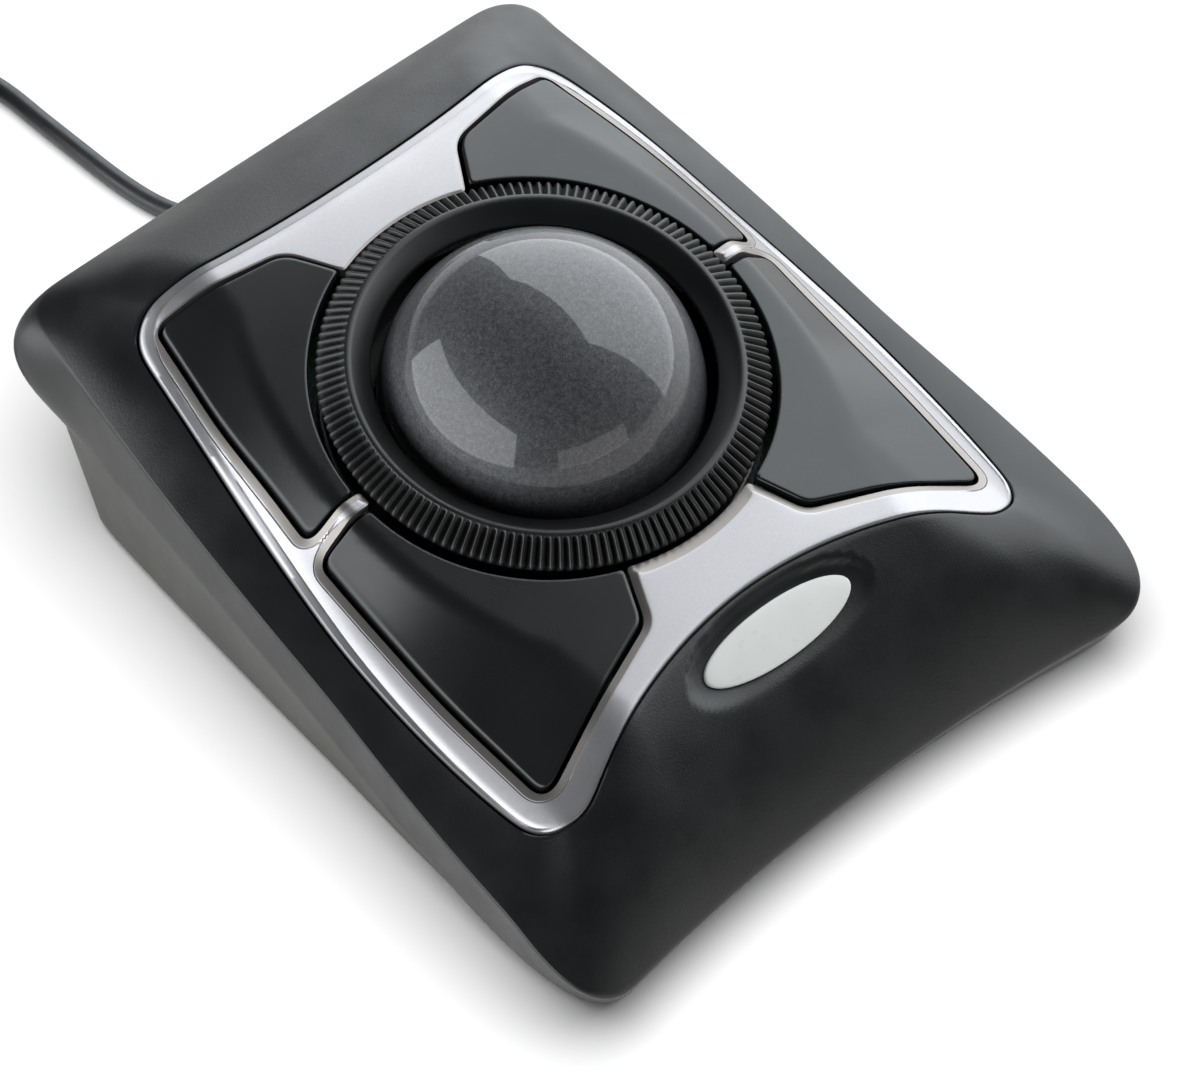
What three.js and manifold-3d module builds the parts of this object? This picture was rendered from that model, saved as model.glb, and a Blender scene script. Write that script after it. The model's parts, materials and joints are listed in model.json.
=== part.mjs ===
// Desktop trackball mouse: a large ball in a tilted deck, a scroll ring round the ball,
// four buttons, a two-part case and a USB lead.
// Millimetres, +X to the user's right, +Y to the rear, +Z up, standing on z = 0.

import * as THREE from 'three';
import { mergeVertices } from 'three/addons/utils/BufferGeometryUtils.js';
import Module from 'manifold-3d';

const wasm = await Module();
wasm.setup();

// ---------------------------------------------------------------- driving dimensions

const deckTilt = THREE.MathUtils.degToRad(8); // the deck rises towards the rear
const deckCentre = new THREE.Vector3(0, 5.6, 39.8); // where the ball's axis meets the deck datum
const ballRadius = 27.5;
const ballSink = 2.3; // ball centre below the deck datum
const pieceGap = 0.35; // clearance between neighbouring pieces
const buttonGap = 0.8; // visible gap round each button
const wall = 2.4; // case wall thickness
const plateThickness = 2;
const capThickness = 2.2;
const plateauHeight = 3.2; // flat round the ring, above the deck datum
const ringHoleRadius = 38.35;
const boardThickness = 1.2;
const baseBottom = 1.2;
const baseFloor = 3.6;
const cordDiameter = 3.6;

const model = new THREE.Group();
const deck = new THREE.Group();
deck.position.copy(deckCentre);
deck.rotation.x = deckTilt;
deck.updateMatrixWorld(true);
model.add(deck);

// ---------------------------------------------------------------- materials

function material(color, roughness, metalness) {
  return new THREE.MeshStandardMaterial({ color, roughness, metalness });
}

const blackPlastic = material(0x202224, 0.6, 0);
const basePlastic = material(0x36362f, 0.65, 0);
const silverPaint = material(0xc6c8cd, 0.35, 0.6);
const buttonPlastic = material(0x17191b, 0.4, 0);
const ringPlastic = material(0x0e0f10, 0.45, 0);
const ballResin = material(0x35363b, 0.12, 0.1);
const cupPlastic = material(0x1c1c1e, 0.5, 0);
const steel = material(0xb4b7ba, 0.3, 1);
const boardGreen = material(0x1f5a36, 0.5, 0);
const chipBlack = material(0x121212, 0.45, 0);
const clearLens = material(0xdfe8ee, 0.08, 0);
const switchWhite = material(0xe4e2da, 0.5, 0);
const rubber = material(0x1b1b1b, 0.9, 0);
const badgeWhite = material(0xe4e4e0, 0.35, 0);
const labelGrey = material(0xb9bbbd, 0.6, 0);
const cordJacket = material(0x2b2c2e, 0.55, 0);

// ---------------------------------------------------------------- solids

function addMesh(parent, name, geometry, surface) {
  const mesh = new THREE.Mesh(geometry, surface);
  mesh.name = name;
  parent.add(mesh);
}

function toManifold(geometry) {
  const bare = geometry.clone();
  bare.deleteAttribute('normal');
  bare.deleteAttribute('uv');
  const merged = mergeVertices(bare, 1e-4);
  return new wasm.Manifold(new wasm.Mesh({
    numProp: 3,
    vertProperties: new Float32Array(merged.attributes.position.array),
    triVerts: new Uint32Array(merged.index.array),
  }));
}

function toGeometry(solid) {
  const mesh = solid.getMesh();
  const geometry = new THREE.BufferGeometry();
  geometry.setAttribute('position', new THREE.BufferAttribute(new Float32Array(mesh.vertProperties), 3));
  geometry.setIndex(new THREE.BufferAttribute(new Uint32Array(mesh.triVerts), 1));
  geometry.computeVertexNormals();
  return geometry;
}

function combine(base, { add = [], cut = [] }) {
  let solid = toManifold(base);
  for (const piece of add) solid = solid.add(toManifold(piece));
  for (const piece of cut) solid = solid.subtract(toManifold(piece));
  return toGeometry(solid);
}

function box(low, high) {
  const size = high.map((value, axis) => value - low[axis]);
  const geometry = new THREE.BoxGeometry(...size);
  return geometry.translate(...low.map((value, axis) => value + size[axis] / 2));
}

// An upright cylinder standing from low to high at (x, y).
function post(x, y, low, high, radius, sides = 20) {
  const geometry = new THREE.CylinderGeometry(radius, radius, high - low, sides);
  return geometry.rotateX(Math.PI / 2).translate(x, y, (low + high) / 2);
}

// A cylinder along X from low to high at (y, z).
function crossPin(low, high, y, z, radius, sides = 16) {
  const geometry = new THREE.CylinderGeometry(radius, radius, high - low, sides);
  return geometry.rotateZ(Math.PI / 2).translate((low + high) / 2, y, z);
}

// A solid of revolution about Z from a closed profile of [radius, height] points.
function revolve(profile, segments) {
  const ordered = loopArea(profile) > 0 ? profile : profile.toReversed();
  const closed = [...ordered, ordered[0]].map(([radius, height]) => new THREE.Vector2(radius, height));
  return new THREE.LatheGeometry(closed, segments).rotateX(Math.PI / 2);
}

function prism(loop, low, high) {
  const shape = new THREE.Shape(loop.map(([x, y]) => new THREE.Vector2(x, y)));
  const geometry = new THREE.ExtrudeGeometry(shape, { depth: high - low, bevelEnabled: false });
  return geometry.translate(0, 0, low);
}

function signedVolume(points, faces) {
  let sum = 0;
  for (const [a, b, c] of faces) sum += points[a].dot(points[b].clone().cross(points[c]));
  return sum / 6;
}

// Skins closed rings of Vector3 with equal counts. A hollow loft joins its last ring to
// its first; any other is closed by a fan round the middle of each end ring.
function loft(rings, hollow = false) {
  const count = rings[0].length;
  const points = rings.flat();
  const faces = [];
  const spans = hollow ? rings.length : rings.length - 1;
  for (let ring = 0; ring < spans; ring += 1) {
    const lower = ring * count;
    const upper = ((ring + 1) % rings.length) * count;
    for (let side = 0; side < count; side += 1) {
      const next = (side + 1) % count;
      faces.push([lower + side, lower + next, upper + next], [lower + side, upper + next, upper + side]);
    }
  }
  if (!hollow) {
    for (const [first, flip] of [[0, true], [(rings.length - 1) * count, false]]) {
      const middle = new THREE.Vector3();
      for (let side = 0; side < count; side += 1) middle.addScaledVector(points[first + side], 1 / count);
      points.push(middle);
      for (let side = 0; side < count; side += 1) {
        const pair = [first + side, first + ((side + 1) % count)];
        if (flip) pair.reverse();
        faces.push([...pair, points.length - 1]);
      }
    }
  }
  if (signedVolume(points, faces) < 0) faces.forEach((face) => face.reverse());
  const geometry = new THREE.BufferGeometry().setFromPoints(points);
  geometry.setIndex(faces.flat());
  geometry.computeVertexNormals();
  return geometry;
}

// ---------------------------------------------------------------- outlines

// Follows a chain of quadratic curves from start; each leg is [control, end, steps].
function followLegs(start, legs) {
  const points = [start];
  let from = start;
  for (const [control, end, steps] of legs) {
    for (let step = 1; step <= steps; step += 1) {
      const t = step / steps;
      points.push(from.map((value, axis) => (
        (1 - t) ** 2 * value + 2 * t * (1 - t) * control[axis] + t ** 2 * end[axis])));
    }
    from = end;
  }
  return points;
}

// Closes a half outline that runs from the rear centre to the front centre on the +X side.
function bothSides(half) {
  const mirror = half.slice(1, -1).reverse().map(([x, ...rest]) => [-x, ...rest]);
  return [...half, ...mirror];
}

// Every long line of the case has six legs, stepped alike, so that a loft joins like to like.
const legSteps = [4, 5, 6, 5, 6, 5];
function halfLine(start, legs) {
  return bothSides(followLegs(start, legs.map(([control, end], index) => [control, end, legSteps[index]])));
}

function loopArea(loop) {
  let sum = 0;
  loop.forEach(([x, y], index) => {
    const [nextX, nextY] = loop[(index + 1) % loop.length];
    sum += x * nextY - nextX * y;
  });
  return sum / 2;
}

// Moves a closed loop of [x, y, ...] outwards by distance, or inwards when it is negative.
function offsetLoop(loop, distance) {
  const sense = Math.sign(loopArea(loop));
  return loop.map(([x, y, ...rest], index) => {
    const before = loop[(index + loop.length - 1) % loop.length];
    const after = loop[(index + 1) % loop.length];
    const first = new THREE.Vector2(y - before[1], before[0] - x).normalize();
    const second = new THREE.Vector2(after[1] - y, x - after[0]).normalize();
    const reach = (sense * distance) / (1 + first.dot(second));
    return [x + (first.x + second.x) * reach, y + (first.y + second.y) * reach, ...rest];
  });
}

// Rounds the corners of a polygon; each corner is [x, y, how far the rounding reaches].
function roundCorners(corners, steps = 4) {
  return corners.flatMap(([x, y, reach], index) => {
    if (!reach) return [[x, y]];
    const ends = [corners.at(index - 1), corners[(index + 1) % corners.length]].map(([endX, endY]) => {
      const part = reach / Math.hypot(endX - x, endY - y);
      return [x + (endX - x) * part, y + (endY - y) * part];
    });
    return followLegs(ends[0], [[[x, y], ends[1], steps]]);
  });
}

function mirrorLoop(loop) {
  return loop.map(([x, y]) => [-x, y]).reverse();
}

function toVectors(loop) {
  return loop.map((point) => new THREE.Vector3(...point));
}

// ---------------------------------------------------------------- the deck's surface

function softRamp(x, radius) {
  if (x <= -radius) return 0;
  return x >= radius ? x : (x + radius) ** 2 / (4 * radius);
}

// Height of the deck above its datum: flat round the ring, folding down towards the sides.
function deckHeight(u, v) {
  const fall = v > 0 ? 0.006 : 0.0015;
  const top = plateauHeight - fall * softRamp(Math.abs(v) - 35, 2) ** 2;
  const fold = 42.3 - 0.0056 * Math.min(Math.abs(v), 40) ** 2;
  const edge = 48.4 - 0.0024 * softRamp(v + 5, 2) ** 2;
  const edgeHeight = -3.4 + 1.1 * Math.tanh(v / 12);
  const foldSlope = (top - edgeHeight) / (edge - fold);
  const rimSlope = 0.72 + 0.4 * Math.exp(-(((v - 12) / 16) ** 2));
  const side = Math.abs(u);
  return top - foldSlope * softRamp(side - fold, 1.2) - (rimSlope - foldSlope) * softRamp(side - edge, 1);
}

const deckOutline = halfLine([0, 50.8], [
  [[20, 50.6], [37, 53.2]],
  [[45.8, 54.6], [47.3, 45.5]],
  [[52.6, 13], [54.9, -14]],
  [[55.9, -38], [53.6, -56]],
  [[52.3, -65.2], [43.5, -63.6]],
  [[22, -51.2], [0, -51]],
]);

// A plate that follows the deck, from drop below its surface to drop + thickness below it.
function deckPlate(outline, drop, thickness) {
  const fractions = [0.3, 0.5, 0.64, 0.74, 0.82, 0.88, 0.94, 1];
  const layer = (fraction, depth) => outline.map(([u, v]) => new THREE.Vector3(
    u * fraction, v * fraction, deckHeight(u * fraction, v * fraction) - depth));
  const upper = fractions.map((fraction) => layer(fraction, drop));
  const lower = fractions.toReversed().map((fraction) => layer(fraction, drop + thickness));
  return loft([...upper, ...lower]);
}

// ---------------------------------------------------------------- button outlines and hinges

const buttonCorners = {
  upper: [
    [11.8, 32.1], [19.3, 44.8, 2.5], [42.2, 48.6, 1.6], [45.9, 27, 6], [47.8, 2.3, 1.6], [34, 2.1],
  ],
  lower: [
    [34, -2.1], [48.5, -2.4, 1.6], [48.9, -34, 8], [47.6, -57.2, 3], [18, -45.2, 1.5], [12.2, -32],
  ],
};
const hingeReach = 5.5; // hinge axis from the strip's centre line, along v
const hingeHeight = -6.4;
const pinRadius = 0.8;
const pinClearance = 0.35;
const switchReach = 25; // switch from the strip's centre line, along v
const switchOffset = 38; // switch from the centre plane, along u
const boardTop = -12.2;

const buttons = [];
for (const [row, forward] of [['upper', 1], ['lower', -1]]) {
  const loop = roundCorners(buttonCorners[row]);
  buttons.push({ name: `${row}_right`, loop, side: 1, forward });
  buttons.push({ name: `${row}_left`, loop: mirrorLoop(loop), side: -1, forward });
}

// Straight cutters that reach right through the deck, in the deck's frame.
const cutReach = 20;

function throughDeck(loop) {
  return prism(loop, -cutReach, cutReach);
}

function ringHole(radius) {
  return post(0, 0, -cutReach, cutReach, radius, 64);
}

function buttonOpening({ loop }) {
  return throughDeck(offsetLoop(loop, buttonGap));
}

function makeTrimPlate() {
  const plate = deckPlate(offsetLoop(deckOutline, -pieceGap), 0, plateThickness);
  addMesh(deck, 'trim_plate', combine(plate, {
    cut: [ringHole(ringHoleRadius), ...buttons.map(buttonOpening)],
  }), silverPaint);
}

function makeButton({ name, loop, side, forward }) {
  const proud = 0.3;
  const cap = toManifold(deckPlate(deckOutline, -proud, capThickness))
    .intersect(toManifold(throughDeck(loop)))
    .subtract(toManifold(ringHole(ringHoleRadius + buttonGap - 0.2)));
  const [lugInner, lugOuter] = [40.8, 43.2].map((u) => u * side).sort((a, b) => a - b);
  const hingeV = hingeReach * forward;
  const lug = box([lugInner, hingeV - 1.9, hingeHeight - 1.9], [lugOuter, hingeV + 1.9, 1.2]);
  const hole = crossPin(lugInner - 1, lugOuter + 1, hingeV, hingeHeight, pinRadius + pinClearance);
  const rib = post(switchOffset * side, switchReach * forward, -4.4, 1.8, 1.6, 12);
  const solid = cap.add(toManifold(lug)).add(toManifold(rib)).subtract(toManifold(hole));
  addMesh(deck, `button_${name}`, toGeometry(solid), buttonPlastic);
}

function makeHinges() {
  for (const [name, side] of [['right', 1], ['left', -1]]) {
    const span = (a, b) => [a * side, b * side].sort((low, high) => low - high);
    const bracketBox = (u, v, low, high) => {
      const [inner, outer] = span(...u);
      return box([inner, -v, low], [outer, v, high]);
    };
    const foot = bracketBox([38.9, 45.1], 7.6, boardTop + pieceGap, -9.4);
    const cheeks = [[38.9, 40.4], [43.6, 45.1]].map((u) => bracketBox(u, 7.6, -9.5, -4.6));
    const bores = [1, -1].map((forward) => {
      const [inner, outer] = span(38, 46);
      return crossPin(inner, outer, hingeReach * forward, hingeHeight, pinRadius + pinClearance);
    });
    addMesh(deck, `hinge_bracket_${name}`, combine(foot, { add: cheeks, cut: bores }), cupPlastic);
    for (const [row, forward] of [['upper', 1], ['lower', -1]]) {
      const [inner, outer] = span(38.6, 45.4);
      const pin = crossPin(inner, outer, hingeReach * forward, hingeHeight, pinRadius);
      addMesh(deck, `hinge_pin_${row}_${name}`, pin, steel);
    }
  }
}

function makeSwitches() {
  const [width, length, height] = [5.8, 12.8, 6.2];
  const bottom = boardTop + pieceGap;
  for (const { name, side, forward } of buttons) {
    const [u, v] = [switchOffset * side, switchReach * forward];
    const body = box([u - width / 2, v - length / 2, bottom], [u + width / 2, v + length / 2, bottom + height]);
    const well = post(u, v, bottom + height - 2.2, bottom + height + 1, 1.5, 12);
    addMesh(deck, `switch_body_${name}`, combine(body, { cut: [well] }), chipBlack);
    addMesh(deck, `switch_plunger_${name}`, post(u, v, bottom + height - 1.2, -4.7, 1.1, 12), switchWhite);
  }
}

// ---------------------------------------------------------------- ball, ring and cup

const skirtInner = 34.8;
const skirtOuter = 36.6;
const skirtBottom = -4;
const encoderBay = box([-5.4, -41.5, -13], [5.4, -31.8, -0.6]);

function makeScrollRing() {
  const ring = revolve([
    [28.7, 3.9], [28.7, 4.9], [32.4, 7.45], [33.1, 7.35], [37.8, 4.5], [37.8, 4],
    [skirtOuter, 3.9], [skirtOuter, skirtBottom], [skirtInner, skirtBottom], [skirtInner, 2.6], [31, 2.6],
  ], 60);
  const slotCount = 24;
  const slots = [];
  for (let slot = 0; slot < slotCount; slot += 1) {
    const cutter = box([-1.8, skirtInner - 1, skirtBottom - 1], [1.8, skirtOuter + 1, -1.6]);
    slots.push(cutter.rotateZ((slot * 2 * Math.PI) / slotCount));
  }
  addMesh(deck, 'scroll_ring', combine(ring, { cut: slots }), ringPlastic);
}

function makeRingTrack() {
  const track = revolve([[34.6, -8], [37, -8], [37, -4.4], [34.6, -4.4]], 48);
  addMesh(deck, 'ring_track', combine(track, { cut: [encoderBay] }), switchWhite);
}

function makeBall() {
  const ball = new THREE.SphereGeometry(ballRadius, 36, 20).rotateX(Math.PI / 2);
  addMesh(deck, 'ball', ball.translate(0, 0, -ballSink), ballResin);
}

const bearingRadius = 1.25;
const bearingDepth = THREE.MathUtils.degToRad(-38); // below the ball's equator
const bearingAngles = [90, 210, 330].map(THREE.MathUtils.degToRad);
const sensorDepth = THREE.MathUtils.degToRad(-34);

function bearingPlace(angle, reach) {
  return new THREE.Vector3(
    Math.cos(angle) * Math.cos(bearingDepth) * reach,
    Math.sin(angle) * Math.cos(bearingDepth) * reach,
    Math.sin(bearingDepth) * reach - ballSink,
  );
}

// A cylinder along the line from the ball's centre that leans depth from the deck, facing -v.
function sensorBarrel(near, far, radius, sides) {
  const barrel = new THREE.CylinderGeometry(radius, radius, far - near, sides);
  barrel.translate(0, -(near + far) / 2, 0).rotateX(-sensorDepth);
  return barrel.translate(0, 0, -ballSink);
}

function makeBallCup() {
  const [inner, outer] = [ballRadius + 0.9, ballRadius + 4.1];
  const profile = [];
  const steps = 7;
  const rim = THREE.MathUtils.degToRad(-13);
  for (let step = 0; step <= steps; step += 1) {
    const angle = THREE.MathUtils.lerp(rim, -Math.PI / 2, step / steps);
    profile.push([Math.max(0, Math.cos(angle) * inner), Math.sin(angle) * inner - ballSink]);
  }
  for (let step = 0; step <= steps; step += 1) {
    const angle = THREE.MathUtils.lerp(-Math.PI / 2, rim - 0.09, step / steps);
    profile.push([Math.max(0, Math.cos(angle) * outer), Math.sin(angle) * outer - ballSink]);
  }
  const flangeTop = -8.4;
  profile.push([37.8, flangeTop - 2], [37.8, flangeTop], [30.4, flangeTop]);
  const bowl = revolve(profile, 36);
  const pockets = bearingAngles.map((angle) => {
    const pocket = new THREE.SphereGeometry(bearingRadius + pieceGap, 10, 6);
    return pocket.translate(...bearingPlace(angle, ballRadius + pieceGap + bearingRadius));
  });
  addMesh(deck, 'ball_cup', combine(bowl, {
    cut: [...pockets, sensorBarrel(20, 40, 3.6, 20), encoderBay],
  }), cupPlastic);
}

function makeBearingBalls() {
  bearingAngles.forEach((angle, index) => {
    const bead = new THREE.SphereGeometry(bearingRadius, 12, 8);
    const place = bearingPlace(angle, ballRadius + pieceGap + bearingRadius);
    addMesh(deck, `bearing_ball_${index + 1}`, bead.translate(...place), steel);
  });
}

function makeSensor() {
  const lens = sensorBarrel(29.6, 33.6, 3.1, 20);
  addMesh(deck, 'sensor_lens', lens, clearLens);
  const [near, far] = [34, 36.4];
  const chip = box([-5, -far, -6], [5, -near, 6]);
  addMesh(deck, 'optical_sensor', chip.rotateX(-sensorDepth).translate(0, 0, -ballSink), chipBlack);
  const card = box([-9, -far - 1.6, -8], [9, -far - pieceGap, 8]);
  addMesh(deck, 'sensor_board', card.rotateX(-sensorDepth).translate(0, 0, -ballSink), boardGreen);
}

function makeEncoder() {
  const body = box([-5, -41, boardTop + pieceGap], [5, -32.4, -1]);
  const slot = box([-6, -37.4, skirtBottom - 0.7], [6, -34, 0]);
  addMesh(deck, 'ring_encoder', combine(body, { cut: [slot] }), chipBlack);
}

function makeSwitchBoard() {
  const outline = roundCorners([[46, 41, 5], [-46, 41, 5], [-46, -47, 5], [46, -47, 5]], 3);
  const board = prism(outline, boardTop - boardThickness, boardTop);
  addMesh(deck, 'switch_board', combine(board, {
    cut: [post(0, 0, -20, 0, 31.2, 48)],
  }), boardGreen);
}

// ---------------------------------------------------------------- case

const creaseLine = halfLine([0, 78.2, 37.6], [
  [[24, 78.2, 37.6], [45.5, 78, 37.5]],
  [[54.2, 78, 37.3], [54.8, 69, 37.2]],
  [[60, 30.6, 32.6], [61, -12.4, 25.8]],
  [[63.6, -39.4, 22], [63.6, -61.4, 19.3]],
  [[65.2, -80, 13.2], [54, -78.5, 10]],
  [[28, -74.2, 9.5], [0, -74.2, 9.5]],
]);

const skirtLine = halfLine([0, 70.6, 20.5], [
  [[24, 70.6, 20.5], [44, 70.6, 20.8]],
  [[57, 70.6, 21.2], [57.5, 63.6, 22.5]],
  [[60.6, 28.6, 23.6], [62, -12.4, 17]],
  [[63.2, -35.4, 10.2], [62.4, -54.4, 7]],
  [[61.6, -76, 4.2], [53, -76, 4]],
  [[27, -71.8, 4], [0, -71.8, 4]],
]);

const floorLine = halfLine([0, 62.2, baseBottom], [
  [[24, 62.2, baseBottom], [44, 62.2, baseBottom]],
  [[57, 62.2, baseBottom], [57.8, 54.6, baseBottom]],
  [[59.2, 22.6, baseBottom], [59.4, -11.4, baseBottom]],
  [[60.4, -37.4, baseBottom], [59.6, -55.4, baseBottom]],
  [[58.8, -71.4, baseBottom], [51, -72.4, baseBottom]],
  [[26, -68.9, baseBottom], [0, -68.9, baseBottom]],
]);

// The case opening is the deck's outline, lifted onto the deck's surface.
function openingLine(inset, drop) {
  return offsetLoop(deckOutline, -inset).map(([u, v]) => (
    new THREE.Vector3(u, v, deckHeight(u, v) - drop).applyMatrix4(deck.matrixWorld)));
}

// Points part of the way from one line to another, bulging square to the straight way.
function bulgeBetween(from, to, part, bulge) {
  return from.map((start, index) => {
    const across = to[index].clone().sub(start);
    const flat = Math.hypot(across.x, across.y) || 1;
    const out = new THREE.Vector3(
      (-across.x * across.z) / flat, (-across.y * across.z) / flat, flat);
    out.normalize().multiplyScalar(bulge(across, flat) * 4 * part * (1 - part));
    return start.clone().addScaledVector(across, part).add(out);
  });
}

// The skirt's rear tucks under, so its middle swells outwards, most of all at the rear corners.
const rearCorner = [54, 76];
function skirtSwell(from, to, part) {
  return from.map((start, index) => {
    const point = start.clone().lerp(to[index], part);
    const tuck = start.y - to[index].y;
    const arch = 4 * part * (1 - part);
    const [aside, behind] = [Math.abs(start.x) - rearCorner[0], start.y - rearCorner[1]];
    const corner = Math.exp(-((aside / 8) ** 2) - (behind / 11) ** 2);
    point.x += 3.4 * corner * arch * Math.sign(start.x);
    if (start.y > 0) point.y += (0.075 * tuck ** 2 + 1.6 * corner) * arch;
    return point;
  });
}

function shrink(line, inset, drop) {
  return offsetLoop(line.map(({ x, y, z }) => [x, y, z - drop]), -inset)
    .map((point) => new THREE.Vector3(...point));
}

// The ledge under the trim is sunk below each button, by more than the button's travel.
const travelRoom = 1.6;

function travelCuts() {
  const slab = toManifold(deckPlate(deckOutline, 0, plateThickness + pieceGap + travelRoom));
  return buttons.map((button) => {
    const room = toGeometry(slab.intersect(toManifold(buttonOpening(button))));
    return room.applyMatrix4(deck.matrixWorld);
  });
}

const screwPlaces = [[38, 55, 20, 41], [-38, 55, 20, 41], [43, -53.5, 9, 25], [-43, -53.5, 9, 25]];
const bossRadius = 3.4;
const screwRadius = 1.3;
const headRadius = 2.6;

function makeTopCover() {
  const opening = openingLine(0, 0);
  const crease = toVectors(creaseLine);
  const skirt = toVectors(skirtLine);
  const crown = (across) => 0.002 * across.lengthSq();
  const shoulder = [0.35, 0.7].map((part) => bulgeBetween(opening, crease, part, crown));
  const swell = skirtSwell(crease, skirt, 0.5);
  const rings = [
    opening, ...shoulder, crease, swell, skirt,
    shrink(skirt, wall, 0), shrink(swell, wall, 0.4), shrink(crease, wall, 1.6),
    ...shoulder.toReversed().map((line) => shrink(line, 0.8, wall)),
    openingLine(-0.4, plateThickness + wall + pieceGap),
    openingLine(3, plateThickness + wall + pieceGap),
    openingLine(3, plateThickness + pieceGap),
    openingLine(0, plateThickness + pieceGap),
  ];
  const bosses = screwPlaces.map(([x, y, low, high]) => post(x, y, low + pieceGap, high, bossRadius));
  const bores = screwPlaces.map(([x, y, low]) => post(x, y, low - 1, low + 10, screwRadius + pieceGap, 12));
  addMesh(model, 'top_cover', combine(loft(rings, true), {
    add: bosses, cut: [...bores, ...badgeCuts(), ...travelCuts()],
  }), blackPlastic);
}

function makeBaseShell() {
  const skirt = toVectors(skirtLine);
  const floor = toVectors(floorLine);
  const scaled = (line, part) => line.map((point) => (
    new THREE.Vector3(point.x * part, point.y * part, point.z)));
  const tongue = wall + pieceGap;
  const innerFloor = shrink(floor, wall, baseBottom - baseFloor);
  const rings = [
    scaled(floor, 0.4), floor, shrink(skirt, 0.6, pieceGap), shrink(skirt, tongue, pieceGap),
    shrink(skirt, tongue + 1.2, -2), shrink(skirt, tongue + 2.8, -2), innerFloor, scaled(innerFloor, 0.4),
  ];
  const posts = screwPlaces.map(([x, y, low]) => post(x, y, baseFloor - 1, low, bossRadius));
  const bores = screwPlaces.map(([x, y]) => post(x, y, 0, 40, screwRadius + pieceGap, 12));
  const wells = screwPlaces.map(([x, y, low]) => post(x, y, 0, low - 4, headRadius + pieceGap, 16));
  const recesses = feet.map(({ loop }) => prism(offsetLoop(loop, pieceGap), 0, footHeight + pieceGap));
  const labelBay = prism(offsetLoop(labelLoop, pieceGap), 0, baseBottom + 0.6);
  const cordBore = new THREE.CylinderGeometry(3.4, 3.4, 14, 20).translate(0, 66.5, exitHeight);
  addMesh(model, 'base_shell', combine(loft(rings), {
    add: posts, cut: [...bores, ...wells, ...recesses, labelBay, cordBore],
  }), basePlastic);
}

function makeCaseScrews() {
  screwPlaces.forEach(([x, y, low], index) => {
    const head = post(x, y, low - 6.2, low - 4 - pieceGap, headRadius, 16);
    const shank = post(x, y, low - 4.8, low + 8, screwRadius, 12);
    addMesh(model, `case_screw_${index + 1}`, combine(head, { add: [shank] }), steel);
  });
}

const footHeight = 1.5;
const feet = [['rear_right', 40, 46], ['rear_left', -40, 46], ['front_right', 44, -64], ['front_left', -44, -64]]
  .map(([name, x, y]) => ({
    name,
    loop: roundCorners([[x + 9, y + 4, 4], [x - 9, y + 4, 4], [x - 9, y - 4, 4], [x + 9, y - 4, 4]]),
  }));
const labelLoop = roundCorners([[20, 12, 2], [-20, 12, 2], [-20, -12, 2], [20, -12, 2]], 3);

function makeFeet() {
  for (const { name, loop } of feet) addMesh(model, `foot_${name}`, prism(loop, 0, footHeight), rubber);
}

function makeLabel() {
  addMesh(model, 'blank_label', prism(labelLoop, baseBottom - 0.1, baseBottom + 0.25), labelGrey);
}

// ---------------------------------------------------------------- badge

const badgeCentre = [0, -52.4, 30.6];
const badgeSlope = THREE.MathUtils.degToRad(28);
const badgeReach = [15.5, 4.7];
const badgeThickness = 1;

function badgeOval(grow, low, high) {
  const oval = new THREE.Shape();
  oval.absellipse(0, 0, badgeReach[0] + grow, badgeReach[1] + grow, 0, Math.PI * 2);
  const plate = new THREE.ExtrudeGeometry(oval, { depth: high - low, bevelEnabled: false, curveSegments: 18 });
  return plate.translate(0, 0, low).rotateX(badgeSlope).translate(...badgeCentre);
}

function makeBadge() {
  addMesh(model, 'badge', badgeOval(0, 0, badgeThickness), badgeWhite);
}

// The badge sits in a pocket, in the middle of a shallow oval dimple.
function badgeCuts() {
  const dimple = new THREE.SphereGeometry(1, 36, 18).scale(badgeReach[0] + 4, badgeReach[1] + 4, 2.2);
  dimple.rotateX(badgeSlope).translate(...badgeCentre).translate(0, -0.6, 1.1);
  return [badgeOval(pieceGap, -pieceGap, 4), dimple];
}

// ---------------------------------------------------------------- main board

function makeMainBoard() {
  const low = baseFloor + pieceGap;
  const top = low + boardThickness;
  addMesh(model, 'main_board', box([-34, 12, low], [34, 50, top]), boardGreen);
  addMesh(model, 'usb_controller', box([14, 36, top + pieceGap], [22, 44, top + 2]), chipBlack);
  addMesh(model, 'cable_connector', box([-6, 42, top + pieceGap], [6, 48, top + 5]), switchWhite);
}

// ---------------------------------------------------------------- lead

const exitHeight = 9;
const cordRadius = cordDiameter / 2;
const reliefEnd = 81.7;

// The lead drops from the strain relief to the table and runs away to the rear.
const leadRoute = [
  [0, 82, 9], [-0.3, 86, 8.7], [-1.3, 91, 6.9], [-3, 96, 4.2], [-5, 101.5, 2.3], [-6.9, 108, 1.9],
  [-8.2, 116, 1.9], [-9, 125, 1.9], [-9.8, 135, 1.9], [-10.7, 146, 2], [-12.7, 153.5, 2.3],
];

// The spare length lies in a coil of three turns across and four high.
const coilCentre = [-40, 166];
const coilMeanRadius = 21.2;
const coilAcross = 3 * cordDiameter;
const coilHeight = 4 * cordDiameter;
const coilBottom = 0.85;

// The end of the lead comes down off the coil to the plug.
const tailRoute = [
  [-65.3, 152, 11.4], [-66.2, 147, 9.6], [-67.4, 141.5, 7], [-68.3, 137, 4.9], [-68.5, 133.8, 4.1],
];
const plugX = -68.5;
const plugHeight = 4.1;
const plugRear = 133.3;
const plugBodyRear = 126;
const plugBodyFront = 102;
const shellFront = 89;

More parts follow.
